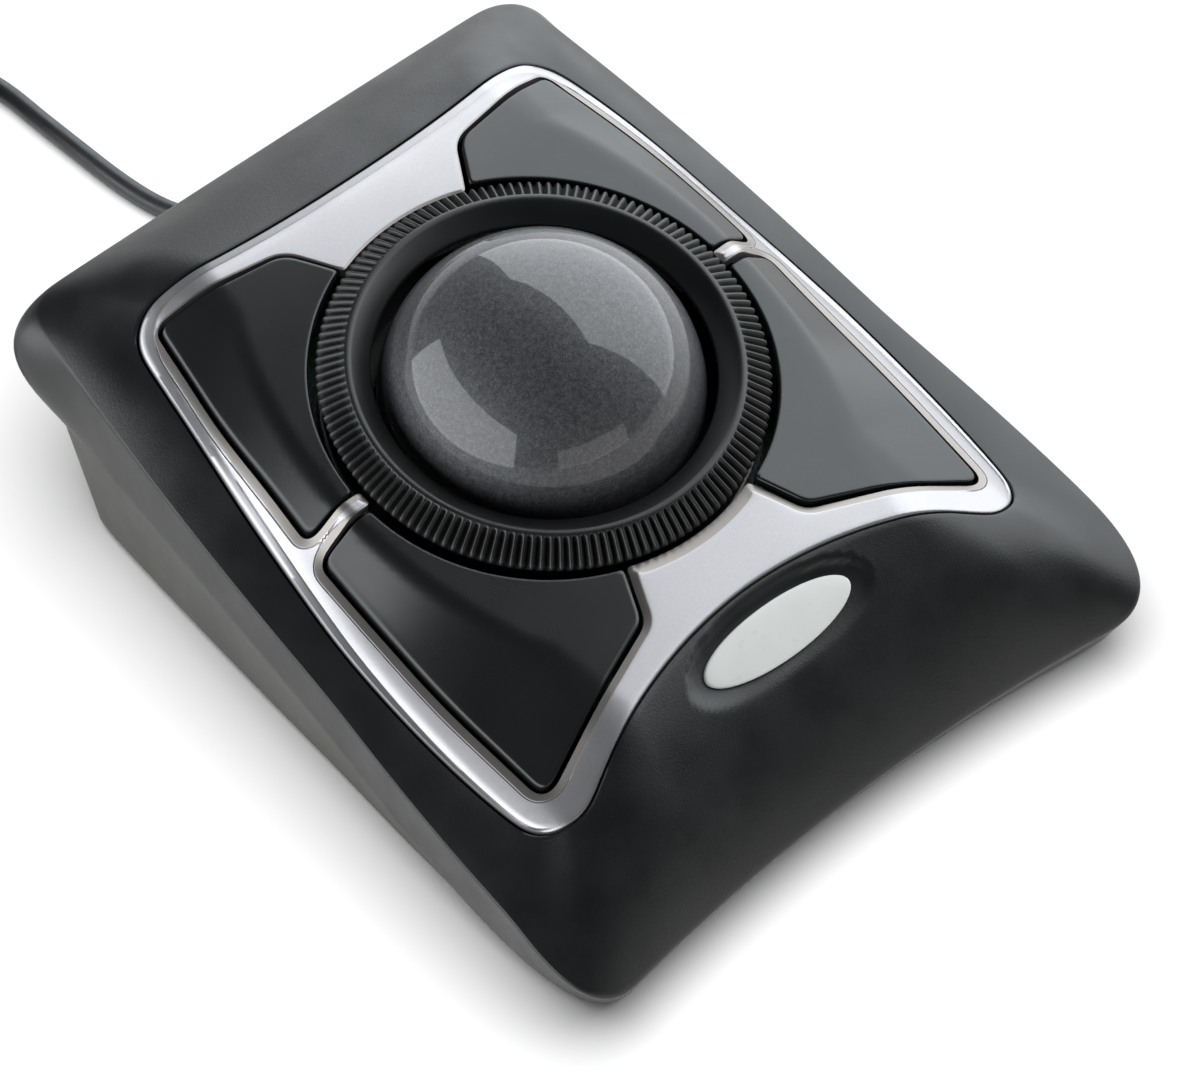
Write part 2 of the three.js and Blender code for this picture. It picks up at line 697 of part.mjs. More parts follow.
function sweep(points, radius, steps, sides) {
  const path = new THREE.CatmullRomCurve3(toVectors(points), false, 'centripetal');
  const section = new THREE.Shape();
  section.absarc(0, 0, radius, 0, Math.PI * 2);
  return new THREE.ExtrudeGeometry(section, { steps, curveSegments: sides / 2, extrudePath: path });
}

function makeStrainRelief() {
  const profile = [
    [0, 56.5], [4.4, 56.5], [4.4, 59], [3, 59.3], [3, 66], [2.15, reliefEnd], [0, reliefEnd],
  ];
  const sleeve = revolve(profile, 20).rotateX(-Math.PI / 2);
  addMesh(model, 'strain_relief', sleeve.translate(0, 0, exitHeight), rubber);
}

function makeLead() {
  addMesh(model, 'cord_lead', sweep(leadRoute, cordRadius, 12, 8), cordJacket);
  const [inner, outer] = [-1, 1].map((side) => coilMeanRadius + (side * coilAcross) / 2);
  const top = coilBottom + coilHeight;
  const coil = revolve([[inner, coilBottom], [outer, coilBottom], [outer, top], [inner, top]], 40);
  addMesh(model, 'cord_coil', coil.translate(...coilCentre, 0), cordJacket);
  addMesh(model, 'cord_tail', sweep(tailRoute, cordRadius, 5, 8), cordJacket);
}

// A strap round the coil's bundle, on the side that faces the rear.
function makeCordTie() {
  const [x, y] = [coilCentre[0], coilCentre[1] + coilMeanRadius];
  const halfWidth = 4;
  const strapThickness = 0.5;
  const bundleBow = 0.8; // how far the bundle's side bows out across the strap's width
  const half = coilAcross / 2 + bundleBow;
  const [low, high] = [coilBottom - pieceGap, coilBottom + coilHeight + pieceGap];
  const outside = box(
    [x - halfWidth, y - half - strapThickness, low - strapThickness],
    [x + halfWidth, y + half + strapThickness, high + strapThickness],
  );
  const inside = box([x - 2 * halfWidth, y - half, low], [x + 2 * halfWidth, y + half, high]);
  addMesh(model, 'cord_tie', combine(outside, { cut: [inside] }), rubber);
}

function makePlug() {
  const outline = roundCorners([[8, 4, 2], [-8, 4, 2], [-8, -4, 2], [8, -4, 2]], 3);
  const body = prism(outline, plugBodyFront, plugBodyRear).rotateX(-Math.PI / 2);
  body.translate(plugX, 0, plugHeight);
  const neck = new THREE.CylinderGeometry(2.3, 3.2, plugRear - plugBodyRear + 1, 16);
  neck.translate(plugX, (plugRear + plugBodyRear - 1) / 2, plugHeight);
  addMesh(model, 'plug_body', combine(body, { add: [neck] }), cordJacket);
  const plate = 0.5;
  const block = (halfWidth, halfHeight, low, high) => box(
    [plugX - halfWidth, low, plugHeight - halfHeight], [plugX + halfWidth, high, plugHeight + halfHeight]);
  const shell = block(6, 2.25, shellFront, plugBodyFront - pieceGap);
  const bay = block(6 - plate, 2.25 - plate, shellFront - 1, plugBodyFront - 1.2);
  addMesh(model, 'plug_shell', combine(shell, { cut: [bay] }), steel);
  const tongue = box(
    [plugX - 5.2, shellFront + 0.6, plugHeight - 1.45], [plugX + 5.2, plugBodyFront - 1.6, plugHeight + 0.2]);
  addMesh(model, 'plug_tongue', tongue, switchWhite);
}

makeTrimPlate();
buttons.forEach(makeButton);
makeHinges();
makeSwitches();
makeScrollRing();
makeRingTrack();
makeBall();
makeBallCup();
makeBearingBalls();
makeSensor();
makeEncoder();
makeSwitchBoard();
makeTopCover();
makeBaseShell();
makeCaseScrews();
makeFeet();
makeLabel();
makeBadge();
makeMainBoard();
makeStrainRelief();
makeLead();
makeCordTie();
makePlug();

export default model;
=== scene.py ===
"""Desktop trackball mouse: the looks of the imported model.

Shapes are worked out in millimetres, in the frame of the CAD model, and turned into metres when a
mesh is made. The deck has its own coordinates: u to the right, v to the rear, w square to the deck.
"""

import json
import math

import bmesh
import bpy
import numpy as np
from mathutils import Matrix, Vector
from mathutils.geometry import delaunay_2d_cdt


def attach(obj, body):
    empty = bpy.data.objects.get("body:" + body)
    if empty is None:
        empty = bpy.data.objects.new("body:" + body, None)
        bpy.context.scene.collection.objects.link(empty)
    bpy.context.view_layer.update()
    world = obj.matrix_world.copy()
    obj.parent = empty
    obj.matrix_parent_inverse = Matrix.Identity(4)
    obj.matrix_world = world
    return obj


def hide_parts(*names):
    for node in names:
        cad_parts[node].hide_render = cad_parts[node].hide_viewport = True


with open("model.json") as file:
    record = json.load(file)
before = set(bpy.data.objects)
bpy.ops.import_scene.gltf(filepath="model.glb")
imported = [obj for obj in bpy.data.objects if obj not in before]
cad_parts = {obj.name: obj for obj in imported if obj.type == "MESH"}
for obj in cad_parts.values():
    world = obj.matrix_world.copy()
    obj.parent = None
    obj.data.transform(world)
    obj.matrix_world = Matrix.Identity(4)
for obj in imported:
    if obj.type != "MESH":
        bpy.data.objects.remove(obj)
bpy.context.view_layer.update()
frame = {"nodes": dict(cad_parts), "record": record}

MM = 0.001

# ---------------- driving sizes, in millimetres

DECK_TILT = math.radians(8)
DECK_CENTRE = Vector((0, 5.6, 39.8))
BALL_RADIUS = 27.5
BALL_SINK = 2.3  # the ball's middle is this far below the deck's datum
PIECE_GAP = 0.35
BUTTON_GAP = 0.8
BUTTON_RING_GAP = 0.6
WALL = 2.4
PLATEAU = 3.2  # the deck's flat middle, above its datum
RING_HOLE = 38.35
BASE_BOTTOM = 1.2
FOOT_HEIGHT = 1.5
FOOT_HALF = (9, 4)
LABEL_HALF = (20, 12)
CORD = 3.6
EXIT_HEIGHT = 9

DECK_FRAME = Matrix.Translation(DECK_CENTRE) @ Matrix.Rotation(DECK_TILT, 4, "X")

# ---------------- meshes


class Skin:
    """Gathers points and faces, welding points that lie in the same place."""

    def __init__(self):
        self.points = []
        self.faces = []
        self.marks = []
        self.places = {}

    def add(self, point):
        key = tuple(round(value, 4) for value in point)
        if key not in self.places:
            self.places[key] = len(self.points)
            self.points.append(tuple(point))
        return self.places[key]

    def face(self, corners, mark=0):
        indices = []
        for corner in corners:
            index = self.add(corner)
            if index not in indices:
                indices.append(index)
        if len(indices) > 2:
            self.faces.append(indices)
            self.marks.append(mark)

    def band(self, lower, upper):
        """Joins two closed loops with the same number of points."""
        count = len(lower)
        for i in range(count):
            j = (i + 1) % count
            self.face([lower[i], lower[j], upper[j], upper[i]])

    def fan(self, loop):
        """Fills a closed loop with triangles about its middle."""
        middle = np.mean(np.array(loop), axis=0)
        for i, point in enumerate(loop):
            self.face([point, loop[(i + 1) % len(loop)], middle])

    def loft(self, loops, closed=False):
        """Joins a row of loops, and when closed, the last one to the first."""
        for lower, upper in zip(loops, loops[1:]):
            self.band(lower, upper)
        if closed:
            self.band(loops[-1], loops[0])


def raised(outline, height):
    """The points of a flat outline, at a height."""
    return [(x, y, height) for x, y in outline]


def lofted(loops, closed=False):
    skin = Skin()
    skin.loft(loops, closed)
    return skin


def capped(loops):
    """A closed skin through a row of loops, with its two ends filled."""
    skin = lofted(loops)
    skin.fan(loops[0])
    skin.fan(loops[-1])
    return skin


def make_piece(name, skin, materials, transform=Matrix.Identity(4), sharp=35):
    """A mesh object from a skin in millimetres, its normals outwards and its creases sharp."""
    mesh = bpy.data.meshes.new(name)
    mesh.from_pydata([transform @ Vector(point) * MM for point in skin.points], [], skin.faces)
    piece = bpy.data.objects.new(name, mesh)
    bpy.context.scene.collection.objects.link(piece)
    for surface in materials:
        mesh.materials.append(surface)
    mesh.polygons.foreach_set("material_index", skin.marks)
    work = bmesh.new()
    work.from_mesh(mesh)
    bmesh.ops.recalc_face_normals(work, faces=work.faces)
    work.to_mesh(mesh)
    work.free()
    mesh.shade_smooth()
    mesh.set_sharp_from_angle(angle=math.radians(sharp))
    return piece


def ring_points(profile_point, segments):
    radius, height = profile_point
    angles = [2 * math.pi * i / segments for i in range(segments)]
    return [(radius * math.cos(angle), radius * math.sin(angle), height) for angle in angles]


def turned(profile, segments):
    """A skin of revolution about Z; a profile point on the axis closes the end."""
    return lofted([ring_points(point, segments) for point in profile])


# ---------------- outlines


def follow_legs(start, legs):
    """Follows a chain of quadratic curves from start; each leg is (control, end, steps)."""
    points = [np.array(start, float)]
    here = points[0]
    for control, end, steps in legs:
        control, end = np.array(control, float), np.array(end, float)
        for step in range(1, steps + 1):
            t = step / steps
            points.append((1 - t) ** 2 * here + 2 * t * (1 - t) * control + t**2 * end)
        here = end
    return points


LEG_STEPS = [24, 26, 30, 26, 30, 52]  # points along each leg, from the rear to the front


def half_line(start, legs):
    """A closed line from its +X half, which runs from the rear centre to the front centre."""
    half = follow_legs(start, [(c, e, n) for (c, e), n in zip(legs, LEG_STEPS)])
    mirror = [point * ([-1] + [1] * (len(point) - 1)) for point in half[-2:0:-1]]
    return relax(np.array(half + mirror), 10)


def relax(loop, rounds):
    """Evens out the small kinks where the curves of a closed line meet."""
    for _ in range(rounds):
        loop = 0.5 * loop + 0.25 * (np.roll(loop, 1, axis=0) + np.roll(loop, -1, axis=0))
    return loop


def loop_area(loop):
    x, y = loop[:, 0], loop[:, 1]
    return 0.5 * np.sum(x * np.roll(y, -1) - np.roll(x, -1) * y)


def outward(loop):
    """The unit normals of a closed loop, in its plane, pointing out of it."""
    along = np.roll(loop, -1, axis=0)[:, :2] - np.roll(loop, 1, axis=0)[:, :2]
    normal = np.stack([along[:, 1], -along[:, 0]], axis=1)
    normal /= np.linalg.norm(normal, axis=1, keepdims=True)
    return normal * np.sign(loop_area(loop))


def offset(loop, distance):
    """The loop moved outwards, by one distance or by one for each point."""
    moved = loop.copy()
    moved[:, :2] += outward(loop) * np.reshape(distance, (-1, 1))
    return moved


def even(loop, spacing):
    """The same closed loop with its points evenly spaced."""
    closed = np.vstack([loop, loop[:1]])
    steps = np.linalg.norm(np.diff(closed, axis=0), axis=1)
    reach = np.concatenate([[0], np.cumsum(steps)])
    count = max(8, round(reach[-1] / spacing))
    places = np.arange(count) * reach[-1] / count
    columns = [np.interp(places, reach, closed[:, axis]) for axis in range(loop.shape[1])]
    return np.stack(columns, axis=1)


def round_corners(corners, steps=12):
    """A polygon with rounded corners; each corner is (x, y, how far the rounding reaches)."""
    points = []
    for index, (x, y, reach) in enumerate(corners):
        here = np.array([x, y], float)
        if not reach:
            points.append(here)
            continue
        ends = []
        for other in (corners[index - 1], corners[(index + 1) % len(corners)]):
            way = np.array(other[:2], float) - here
            ends.append(here + way * reach / np.linalg.norm(way))
        points.extend(follow_legs(ends[0], [(here, ends[1], steps)]))
    return np.array(points)


def rounded_box(half_x, half_y, reach, centre=(0, 0), steps=8):
    corners = [(half_x, half_y), (-half_x, half_y), (-half_x, -half_y), (half_x, -half_y)]
    return round_corners([(x + centre[0], y + centre[1], reach) for x, y in corners], steps)


def circle(radius, count, centre=(0, 0)):
    angles = np.arange(count) * 2 * math.pi / count
    return np.stack([centre[0] + radius * np.cos(angles), centre[1] + radius * np.sin(angles)], axis=1)


def inside(points, loop):
    """Which of the points lie inside a closed loop."""
    x, y = points[:, 0:1], points[:, 1:2]
    ax, ay = loop[:, 0], loop[:, 1]
    bx, by = np.roll(ax, -1), np.roll(ay, -1)
    crosses = (ay > y) != (by > y)
    with np.errstate(divide="ignore", invalid="ignore"):
        at = ax + (y - ay) * (bx - ax) / (by - ay)
    return np.sum(crosses & (x < at), axis=1) % 2 == 1


def nearest_on(points, loop):
    """How far each point is from a closed loop, and where along it the nearest place is."""
    start, end = loop[:, :2], np.roll(loop[:, :2], -1, axis=0)
    way = end - start
    length = np.maximum(np.sum(way**2, axis=1), 1e-12)
    away = np.empty(len(points))
    place = np.empty(len(points))
    for first in range(0, len(points), 2000):
        chunk = points[first : first + 2000, None, :2]
        t = np.clip(np.sum((chunk - start) * way, axis=2) / length, 0, 1)
        gap = np.sum((chunk - (start + t[..., None] * way)) ** 2, axis=2)
        nearest = np.argmin(gap, axis=1)
        rows = np.arange(len(nearest))
        away[first : first + 2000] = np.sqrt(gap[rows, nearest])
        place[first : first + 2000] = nearest + t[rows, nearest]
    return away, place


def distance_to(points, loop):
    return nearest_on(points, loop)[0]


def share_along(place, values):
    """Values given at a closed loop's points, read at places along it."""
    return np.interp(place, np.arange(len(values) + 1), np.append(values, values[0]))


# ---------------- plates

UNDERSIDE_SPACING = 6.0


def within(points, edges):
    """Which of the points lie inside the first edge and outside the others."""
    keep = inside(points, edges[0])
    for hole in edges[1:]:
        keep &= ~inside(points, hole)
    return keep


def edge_rows(edges, lines, spacing, scales):
    """Rows of points along each edge, without the points that come too near another edge."""
    slack = 0.06 if scales else 0.02
    clear = max(0.25, 0.2 * spacing)
    rows = []
    for own, edge in enumerate(edges):
        scale = scales[own] if scales else np.ones(len(edge))
        for line in lines[min(own, len(lines) - 1)]:
            row = offset(edge, scale * (-line if own == 0 else line))
            keep = np.abs(distance_to(row, edge) - line * scale) < slack
            for number, other in enumerate(edges):
                if number == own:
                    continue
                away, place = nearest_on(row, other)
                crowded = own == 0 and scales
                taken = max(lines[-1]) * share_along(place, scales[number]) if crowded else 0
                keep &= away > clear + taken
            rows.append(row[keep])
    return rows


def grid_points(edges, lines, spacing, scales):
    """A grid of points over the plate's box, without the points that come near its edges' rows."""
    low, high = edges[0].min(axis=0), edges[0].max(axis=0)
    tall = spacing * math.sqrt(3) / 2
    rows = []
    for row in range(int((high[1] - low[1]) / tall) + 1):
        xs = np.arange(low[0] + (row % 2) * spacing / 2, high[0], spacing)
        rows.append(np.stack([xs, np.full(len(xs), low[1] + row * tall)], axis=1))
    grid = np.vstack(rows)
    for own, edge in enumerate(edges):
        away, place = nearest_on(grid, edge)
        reach = max(lines[min(own, len(lines) - 1)], default=0)
        scale = share_along(place, scales[own]) if scales else 1
        grid = grid[away > reach * scale + 0.45 * spacing]
    return grid


def face_middles(flat, faces):
    return np.array([flat[list(face)].mean(axis=0) for face in faces])


def fill(edges, spacing, lines=((),), scales=None):
    """Triangles over the region inside the first edge and outside the others.

    Inside it lie rows of points along the edges at the distances in lines, then a grid. A distance
    is multiplied by the edge's own scale, which may differ along the edge."""
    links = []
    for edge in edges:
        first = len(links)
        links += [(first + i, first + (i + 1) % len(edge)) for i in range(len(edge))]
    rows = edge_rows(edges, lines, spacing, scales)
    inner = np.vstack(rows + [grid_points(edges, lines, spacing, scales)])
    points = np.vstack([edge[:, :2] for edge in edges] + [inner[within(inner, edges)]])
    flat, _, faces, *_ = delaunay_2d_cdt([Vector(point) for point in points], links, [], 1, 1e-5)
    flat = np.array([tuple(point) for point in flat])
    keep = within(face_middles(flat, faces), edges)
    return flat, [face for face, wanted in zip(faces, keep) if wanted]


def plate(edges, height, depth, lines, spacing, mark=None, scales=None):
    """A plate whose top is height(points); its walls go depth down to a plain underside.

    mark(middles), when given, tells which of two materials each face of the top has."""
    skin = Skin()
    flat, faces = fill(edges, spacing, lines, scales)
    tops = height(flat)
    marks = mark(face_middles(flat, faces)) if mark else np.zeros(len(faces))
    for face, material in zip(faces, marks):
        skin.face([(flat[i][0], flat[i][1], tops[i]) for i in face], int(material))
    for edge in edges:
        top = np.column_stack([edge, height(edge)])
        skin.band(top, top - [0, 0, depth])
    flat, faces = fill(edges, UNDERSIDE_SPACING)
    tops = height(flat)
    for face in faces:
        skin.face([(flat[i][0], flat[i][1], tops[i] - depth) for i in reversed(face)])
    return skin


# ---------------- the deck's surface

# The deck is flat round the ring and folds down at both sides, to a rim of another slope. The fold
# comes inwards with the square of the distance from the middle, as far as its reach, and the rim
# with the square of the distance behind its start.
FOLD_SIDE, FOLD_CURVE, FOLD_REACH = 42.3, 0.0056, 40
FOLD_SOFTNESS, FOLD_SOFTER = 1.2, 3.5  # how gently it folds, and what is added at both ends
RIM_SIDE, RIM_CURVE, RIM_START = 48.4, 0.0024, -5
RIM_HEIGHT, RIM_RISE = -3.4, 1.1  # at the middle, and how much higher towards the rear
RIM_SLOPE, RIM_STEEPER = 0.72, 0.4  # outside the rim, and what is added beside the ring
FALL_START, FALL_REAR, FALL_FRONT = 35, 0.006, 0.0015  # beyond its start the flat part falls away


def soft_ramp(x, radius):
    """Zero below zero and x above it, with the bend rounded over within radius of it."""
    x = np.asarray(x, float)
    return np.where(x <= -radius, 0, np.where(x >= radius, x, (x + radius) ** 2 / (4 * radius)))


def fold_side(v):
    return FOLD_SIDE - FOLD_CURVE * np.minimum(np.abs(v), FOLD_REACH) ** 2


def deck_height(flat):
    """Height of the deck above its datum, at places given as (u, v)."""
    flat = np.asarray(flat, float)
    side, v = np.abs(flat[:, 0]), flat[:, 1]
    fall = np.where(v > 0, FALL_REAR, FALL_FRONT)
    top = PLATEAU - fall * soft_ramp(np.abs(v) - FALL_START, 2) ** 2
    fold = fold_side(v)
    rim = RIM_SIDE - RIM_CURVE * soft_ramp(v - RIM_START, 2) ** 2
    fold_slope = (top - RIM_HEIGHT - RIM_RISE * np.tanh(v / 12)) / (rim - fold)
    rim_slope = RIM_SLOPE + RIM_STEEPER * np.exp(-(((v - 12) / 16) ** 2))
    softness = FOLD_SOFTNESS + FOLD_SOFTER * np.clip((np.abs(v) - 36) / 18, 0, 1)
    folded = fold_slope * soft_ramp(side - fold, softness)
    return top - folded - (rim_slope - fold_slope) * soft_ramp(side - rim, 1)


def deck_points(loop, drop):
    """Points of a deck outline, on the deck's surface or drop below it, in the case's frame."""
    heights = deck_height(loop) - drop
    return np.array([DECK_FRAME @ Vector((u, v, w)) for (u, v), w in zip(loop, heights)])


DECK_LINE = half_line(
    (0, 50.8),
    [
        ((20, 50.6), (37, 53.2)),
        ((45.8, 54.6), (47.3, 45.5)),
        ((52.6, 13), (54.9, -14)),
        ((55.9, -38), (53.6, -56)),
        ((52.3, -65.2), (43.5, -63.6)),
        ((22, -51.2), (0, -51)),
    ],
)

FINE_STEP = 0.25  # between the points of an outline while it is cut and joined
CORNER_STEP = 0.3
EDGE_STEP = 0.55  # between the points of a finished edge
HOLE_STEP = 0.5
BUTTON_CORNERS = {  # each is (u, v, how far its rounding reaches), for the right side
    "upper": [
        (11.8, 32.1, 0), (19.3, 44.8, 2.5), (42.2, 48.6, 1.6),
        (45.9, 27, 6), (47.8, 2.3, 1.6), (34, 2.1, 0),
    ],
    "lower": [
        (34, -2.1, 0), (48.5, -2.4, 1.6), (48.9, -34, 8),
        (47.6, -57.2, 3), (18, -45.2, 1.5), (12.2, -32, 0),
    ],
}


def outside_circle(loop, radius):
    """The part of a loop outside a circle about the middle, from one crossing to the other."""
    loop = even(loop, FINE_STEP)
    out = np.linalg.norm(loop, axis=1) > radius
    first = next(i for i in range(len(loop)) if out[i] and not out[i - 1])
    run = [loop[(first + i) % len(loop)] for i in range(len(loop)) if out[(first + i) % len(loop)]]
    ends = [point * radius / np.linalg.norm(point) for point in (run[0], run[-1])]
    return np.array([ends[0]] + run + [ends[1]])


def arc_between(start, end, radius):
    """Points along the short arc about the middle from start to end, without its ends."""
    a, b = math.atan2(start[1], start[0]), math.atan2(end[1], end[0])
    turn = (b - a + math.pi) % (2 * math.pi) - math.pi
    steps = max(2, int(abs(turn) * radius / FINE_STEP))
    angles = [a + turn * i / steps for i in range(1, steps)]
    return np.array([(radius * math.cos(angle), radius * math.sin(angle)) for angle in angles])


def button_loop(row, side):
    """A button's outline, with its ring side cut to an arc and its corners slightly eased."""
    radius = RING_HOLE + BUTTON_RING_GAP
    run = outside_circle(round_corners(BUTTON_CORNERS[row]), radius)
    loop = np.vstack([run, arc_between(run[-1], run[0], radius)])
    loop = relax(even(loop, CORNER_STEP), 4)
    return even(loop * (side, 1), EDGE_STEP)


def trim_hole():
    """The one opening of the trim: four button openings joined by the ring's hole."""
    runs = []
    for row, side in (("upper", 1), ("upper", -1), ("lower", -1), ("lower", 1)):
        opening = offset(even(round_corners(BUTTON_CORNERS[row]), CORNER_STEP), BUTTON_GAP)
        run = outside_circle(opening * (side, 1), RING_HOLE)
        turn = math.atan2(*run[-1][::-1]) - math.atan2(*run[0][::-1])
        runs.append(run if math.sin(turn) > 0 else run[::-1])
    pieces = []
    for run, following in zip(runs, runs[1:] + runs[:1]):
        pieces += [run, arc_between(run[-1], following[0], RING_HOLE)]
    return even(relax(even(np.vstack(pieces), FINE_STEP), 5), HOLE_STEP)


# ---------------- shader nodes


class Shader:
    """One material and short calls that add nodes to it."""

    def __init__(self, name, roughness, metallic=0.0, **sockets):
        self.material = bpy.data.materials.new(name)
        self.material.use_nodes = True
        self.nodes = self.material.node_tree.nodes
        self.links = self.material.node_tree.links
        self.surface = self.nodes["Principled BSDF"]
        self.surface.inputs["Roughness"].default_value = roughness
        self.surface.inputs["Metallic"].default_value = metallic
        for key, value in sockets.items():
            socket = key.replace("_", " ").title().replace("Ior", "IOR")
            self.surface.inputs[socket].default_value = value
        self.place = self.nodes.new("ShaderNodeTexCoord").outputs["Object"]

    def node(self, kind, **settings):
        node = self.nodes.new(kind)
        for key, value in settings.items():
            setattr(node, key, value)
        return node

    def scaled(self, factors):
        """The place on the piece, stretched by a factor along each axis."""
        node = self.node("ShaderNodeVectorMath", operation="MULTIPLY")
        self.links.new(self.place, node.inputs[0])
        node.inputs[1].default_value = factors
        return node.outputs[0]

    def noise(self, size, detail, roughness=0.5, source=None):
        """Noise whose lumps are about size millimetres across."""
        node = self.node("ShaderNodeTexNoise")
        self.links.new(source or self.place, node.inputs["Vector"])
        node.inputs["Scale"].default_value = 1 / (size * MM)
        node.inputs["Detail"].default_value = detail
        node.inputs["Roughness"].default_value = roughness
        return node.outputs["Fac"]

    def cells(self, size, feature="F1"):
        """A pattern of cells about size millimetres across."""
        node = self.node("ShaderNodeTexVoronoi", feature=feature)
        self.links.new(self.place, node.inputs["Vector"])
        node.inputs["Scale"].default_value = 1 / (size * MM)
        return node

    def spread(self, value, low, high, out_low, out_high):
        """The value stretched from one range to another, and held inside it."""
        node = self.node("ShaderNodeMapRange")
        self.links.new(value, node.inputs["Value"])
        sockets = ("From Min", "From Max", "To Min", "To Max")
        for socket, number in zip(sockets, (low, high, out_low, out_high)):
            node.inputs[socket].default_value = number
        return node.outputs["Result"]

    def combine(self, operation, first, second):
        """A sum or a product of an output and an output or a number."""
        node = self.node("ShaderNodeMath", operation=operation)
        self.links.new(first, node.inputs[0])
        if isinstance(second, (int, float)):
            node.inputs[1].default_value = second
        else:
            self.links.new(second, node.inputs[1])
        return node.outputs[0]

    def blend(self, factor, low, high):
        """A colour between two colours, or colour outputs, by a factor."""
        node = self.node("ShaderNodeMix", data_type="RGBA")
        self.links.new(factor, node.inputs["Factor"])
        for socket, colour in (("A", low), ("B", high)):
            target = [s for s in node.inputs if s.name == socket and s.type == "RGBA"][0]
            if isinstance(colour, tuple):
                target.default_value = (*colour, 1)
            else:
                self.links.new(colour, target)
        return [s for s in node.outputs if s.type == "RGBA"][0]

    def colour(self, output):
        self.links.new(output, self.surface.inputs["Base Color"])

    def roughness(self, output):
        self.links.new(output, self.surface.inputs["Roughness"])

    def bump(self, height, depth):
        """Bumps depth millimetres tall."""
        node = self.node("ShaderNodeBump")
        node.inputs["Distance"].default_value = depth * MM
        self.links.new(height, node.inputs["Height"])
        self.links.new(node.outputs["Normal"], self.surface.inputs["Normal"])


def textured_plastic(name, dark, light, roughness, grain, depth, specular=0.5, wear=0.05):
    """Moulded plastic with a fine spark-eroded grain and faint uneven gloss."""
    shader = Shader(name, roughness, Specular_IOR_Level=specular)
    patches = shader.spread(shader.noise(22, 2), 0.3, 0.7, 0, 0.6)
    speck = shader.noise(grain, 2, 0.6)
    mixed = shader.combine("ADD", patches, shader.spread(speck, 0.35, 0.65, 0, 0.4))
    shader.colour(shader.blend(mixed, dark, light))
    worn = shader.spread(shader.noise(9, 4), 0.3, 0.7, roughness - wear, roughness + wear)
    shader.roughness(worn)
    shader.bump(speck, depth)
    return shader.material


def cover_plastic():
    dark, light = (0.0055, 0.0058, 0.0062), (0.0078, 0.0082, 0.0086)
    return textured_plastic("cover_plastic", dark, light, 0.38, 0.35, 0.03, 0.48)


def base_plastic():
    dark, light = (0.032, 0.031, 0.0255), (0.041, 0.04, 0.0335)
    return textured_plastic("base_plastic", dark, light, 0.52, 0.4, 0.035)


def button_plastic():
    dark, light = (0.006, 0.0065, 0.007), (0.01, 0.0105, 0.011)
    return textured_plastic("button_plastic", dark, light, 0.28, 0.25, 0.006, 0.5, 0.012)


def ring_plastic():
    dark, light = (0.005, 0.005, 0.0055), (0.009, 0.009, 0.0095)
    return textured_plastic("ring_plastic", dark, light, 0.41, 0.3, 0.01)


def silver_paint(name, tint):
    """Satin paint with fine metal flakes under a thin lacquer."""
    shader = Shader(name, 0.38, 0.8, Coat_Weight=0.15, Coat_Roughness=0.3)
    flakes = shader.cells(0.12)
    tone = shader.spread(flakes.outputs["Color"], 0, 1, 0, 1)
    dark = tuple(value * 0.86 for value in tint)
    shader.colour(shader.blend(tone, dark, tint))
    shader.roughness(shader.spread(shader.noise(14, 3), 0.3, 0.7, 0.35, 0.42))
    shader.bump(shader.noise(0.3, 2), 0.003)
    return shader.material


def ball_resin():
    """Dark grey resin full of fine pearl flakes, polished under a clear coat."""
    shader = Shader("ball_resin", 0.5, 0.25, Coat_Weight=0.85, Coat_Roughness=0.05, Coat_IOR=1.42)
    flakes = shader.cells(0.2)
    sparkle = shader.spread(flakes.outputs["Color"], 0.55, 1.0, 0, 1)
    cloud = shader.spread(shader.noise(0.9, 3, 0.6), 0.35, 0.7, 0, 1)
    bright = shader.combine("MULTIPLY", sparkle, 0.65)
    tone = shader.combine("ADD", bright, shader.combine("MULTIPLY", cloud, 0.35))
    shader.colour(shader.blend(tone, (0.028, 0.028, 0.031), (0.125, 0.124, 0.133)))
    shader.roughness(shader.spread(flakes.outputs["Distance"], 0, 0.6, 0.42, 0.56))
    return shader.material


def mottled(name, dark, light, patch, gloss, grain, roughness, metallic=0.0, **sockets):
    """A finish whose colour, gloss and fine bumps each follow their own noise.

    patch is a noise's size and detail, gloss the same and its range, and grain a size and depth."""
    shader = Shader(name, roughness, metallic, **sockets)
    shader.colour(shader.blend(shader.noise(*patch), dark, light))
    shader.roughness(shader.spread(shader.noise(*gloss[:2]), 0.3, 0.7, *gloss[2:]))
    shader.bump(shader.noise(grain[0], 2), grain[1])
    return shader.material


def rubber():
    dark, light = (0.0144, 0.0144, 0.0144), (0.0243, 0.0243, 0.0243)
    gloss = (1.2, 3, 0.72, 0.88)
    return mottled("rubber", dark, light, (3, 5), gloss, (0.25, 0.02), 0.8, Specular_IOR_Level=0.35)


def cord_vinyl():
    dark, light = (0.017, 0.018, 0.02), (0.03, 0.031, 0.034)
    return mottled("cord_vinyl", dark, light, (2.5, 4), (4, 4, 0.36, 0.5), (0.3, 0.01), 0.42)


def plated_steel():
    shader = Shader("plated_steel", 0.28, 1.0)
    shader.colour(shader.blend(shader.noise(3, 4), (0.42, 0.42, 0.41), (0.62, 0.62, 0.61)))
    brushed = shader.noise(0.25, 4, 0.6, shader.scaled((8, 0.6, 8)))
    shader.roughness(shader.spread(brushed, 0.3, 0.7, 0.2, 0.38))
    shader.bump(brushed, 0.004)
    return shader.material


def badge_enamel():
    dark, light = (0.69, 0.69, 0.66), (0.77, 0.77, 0.74)
    return mottled("badge_enamel", dark, light, (6, 3), (2, 3, 0.26, 0.36), (2.5, 0.002), 0.3)


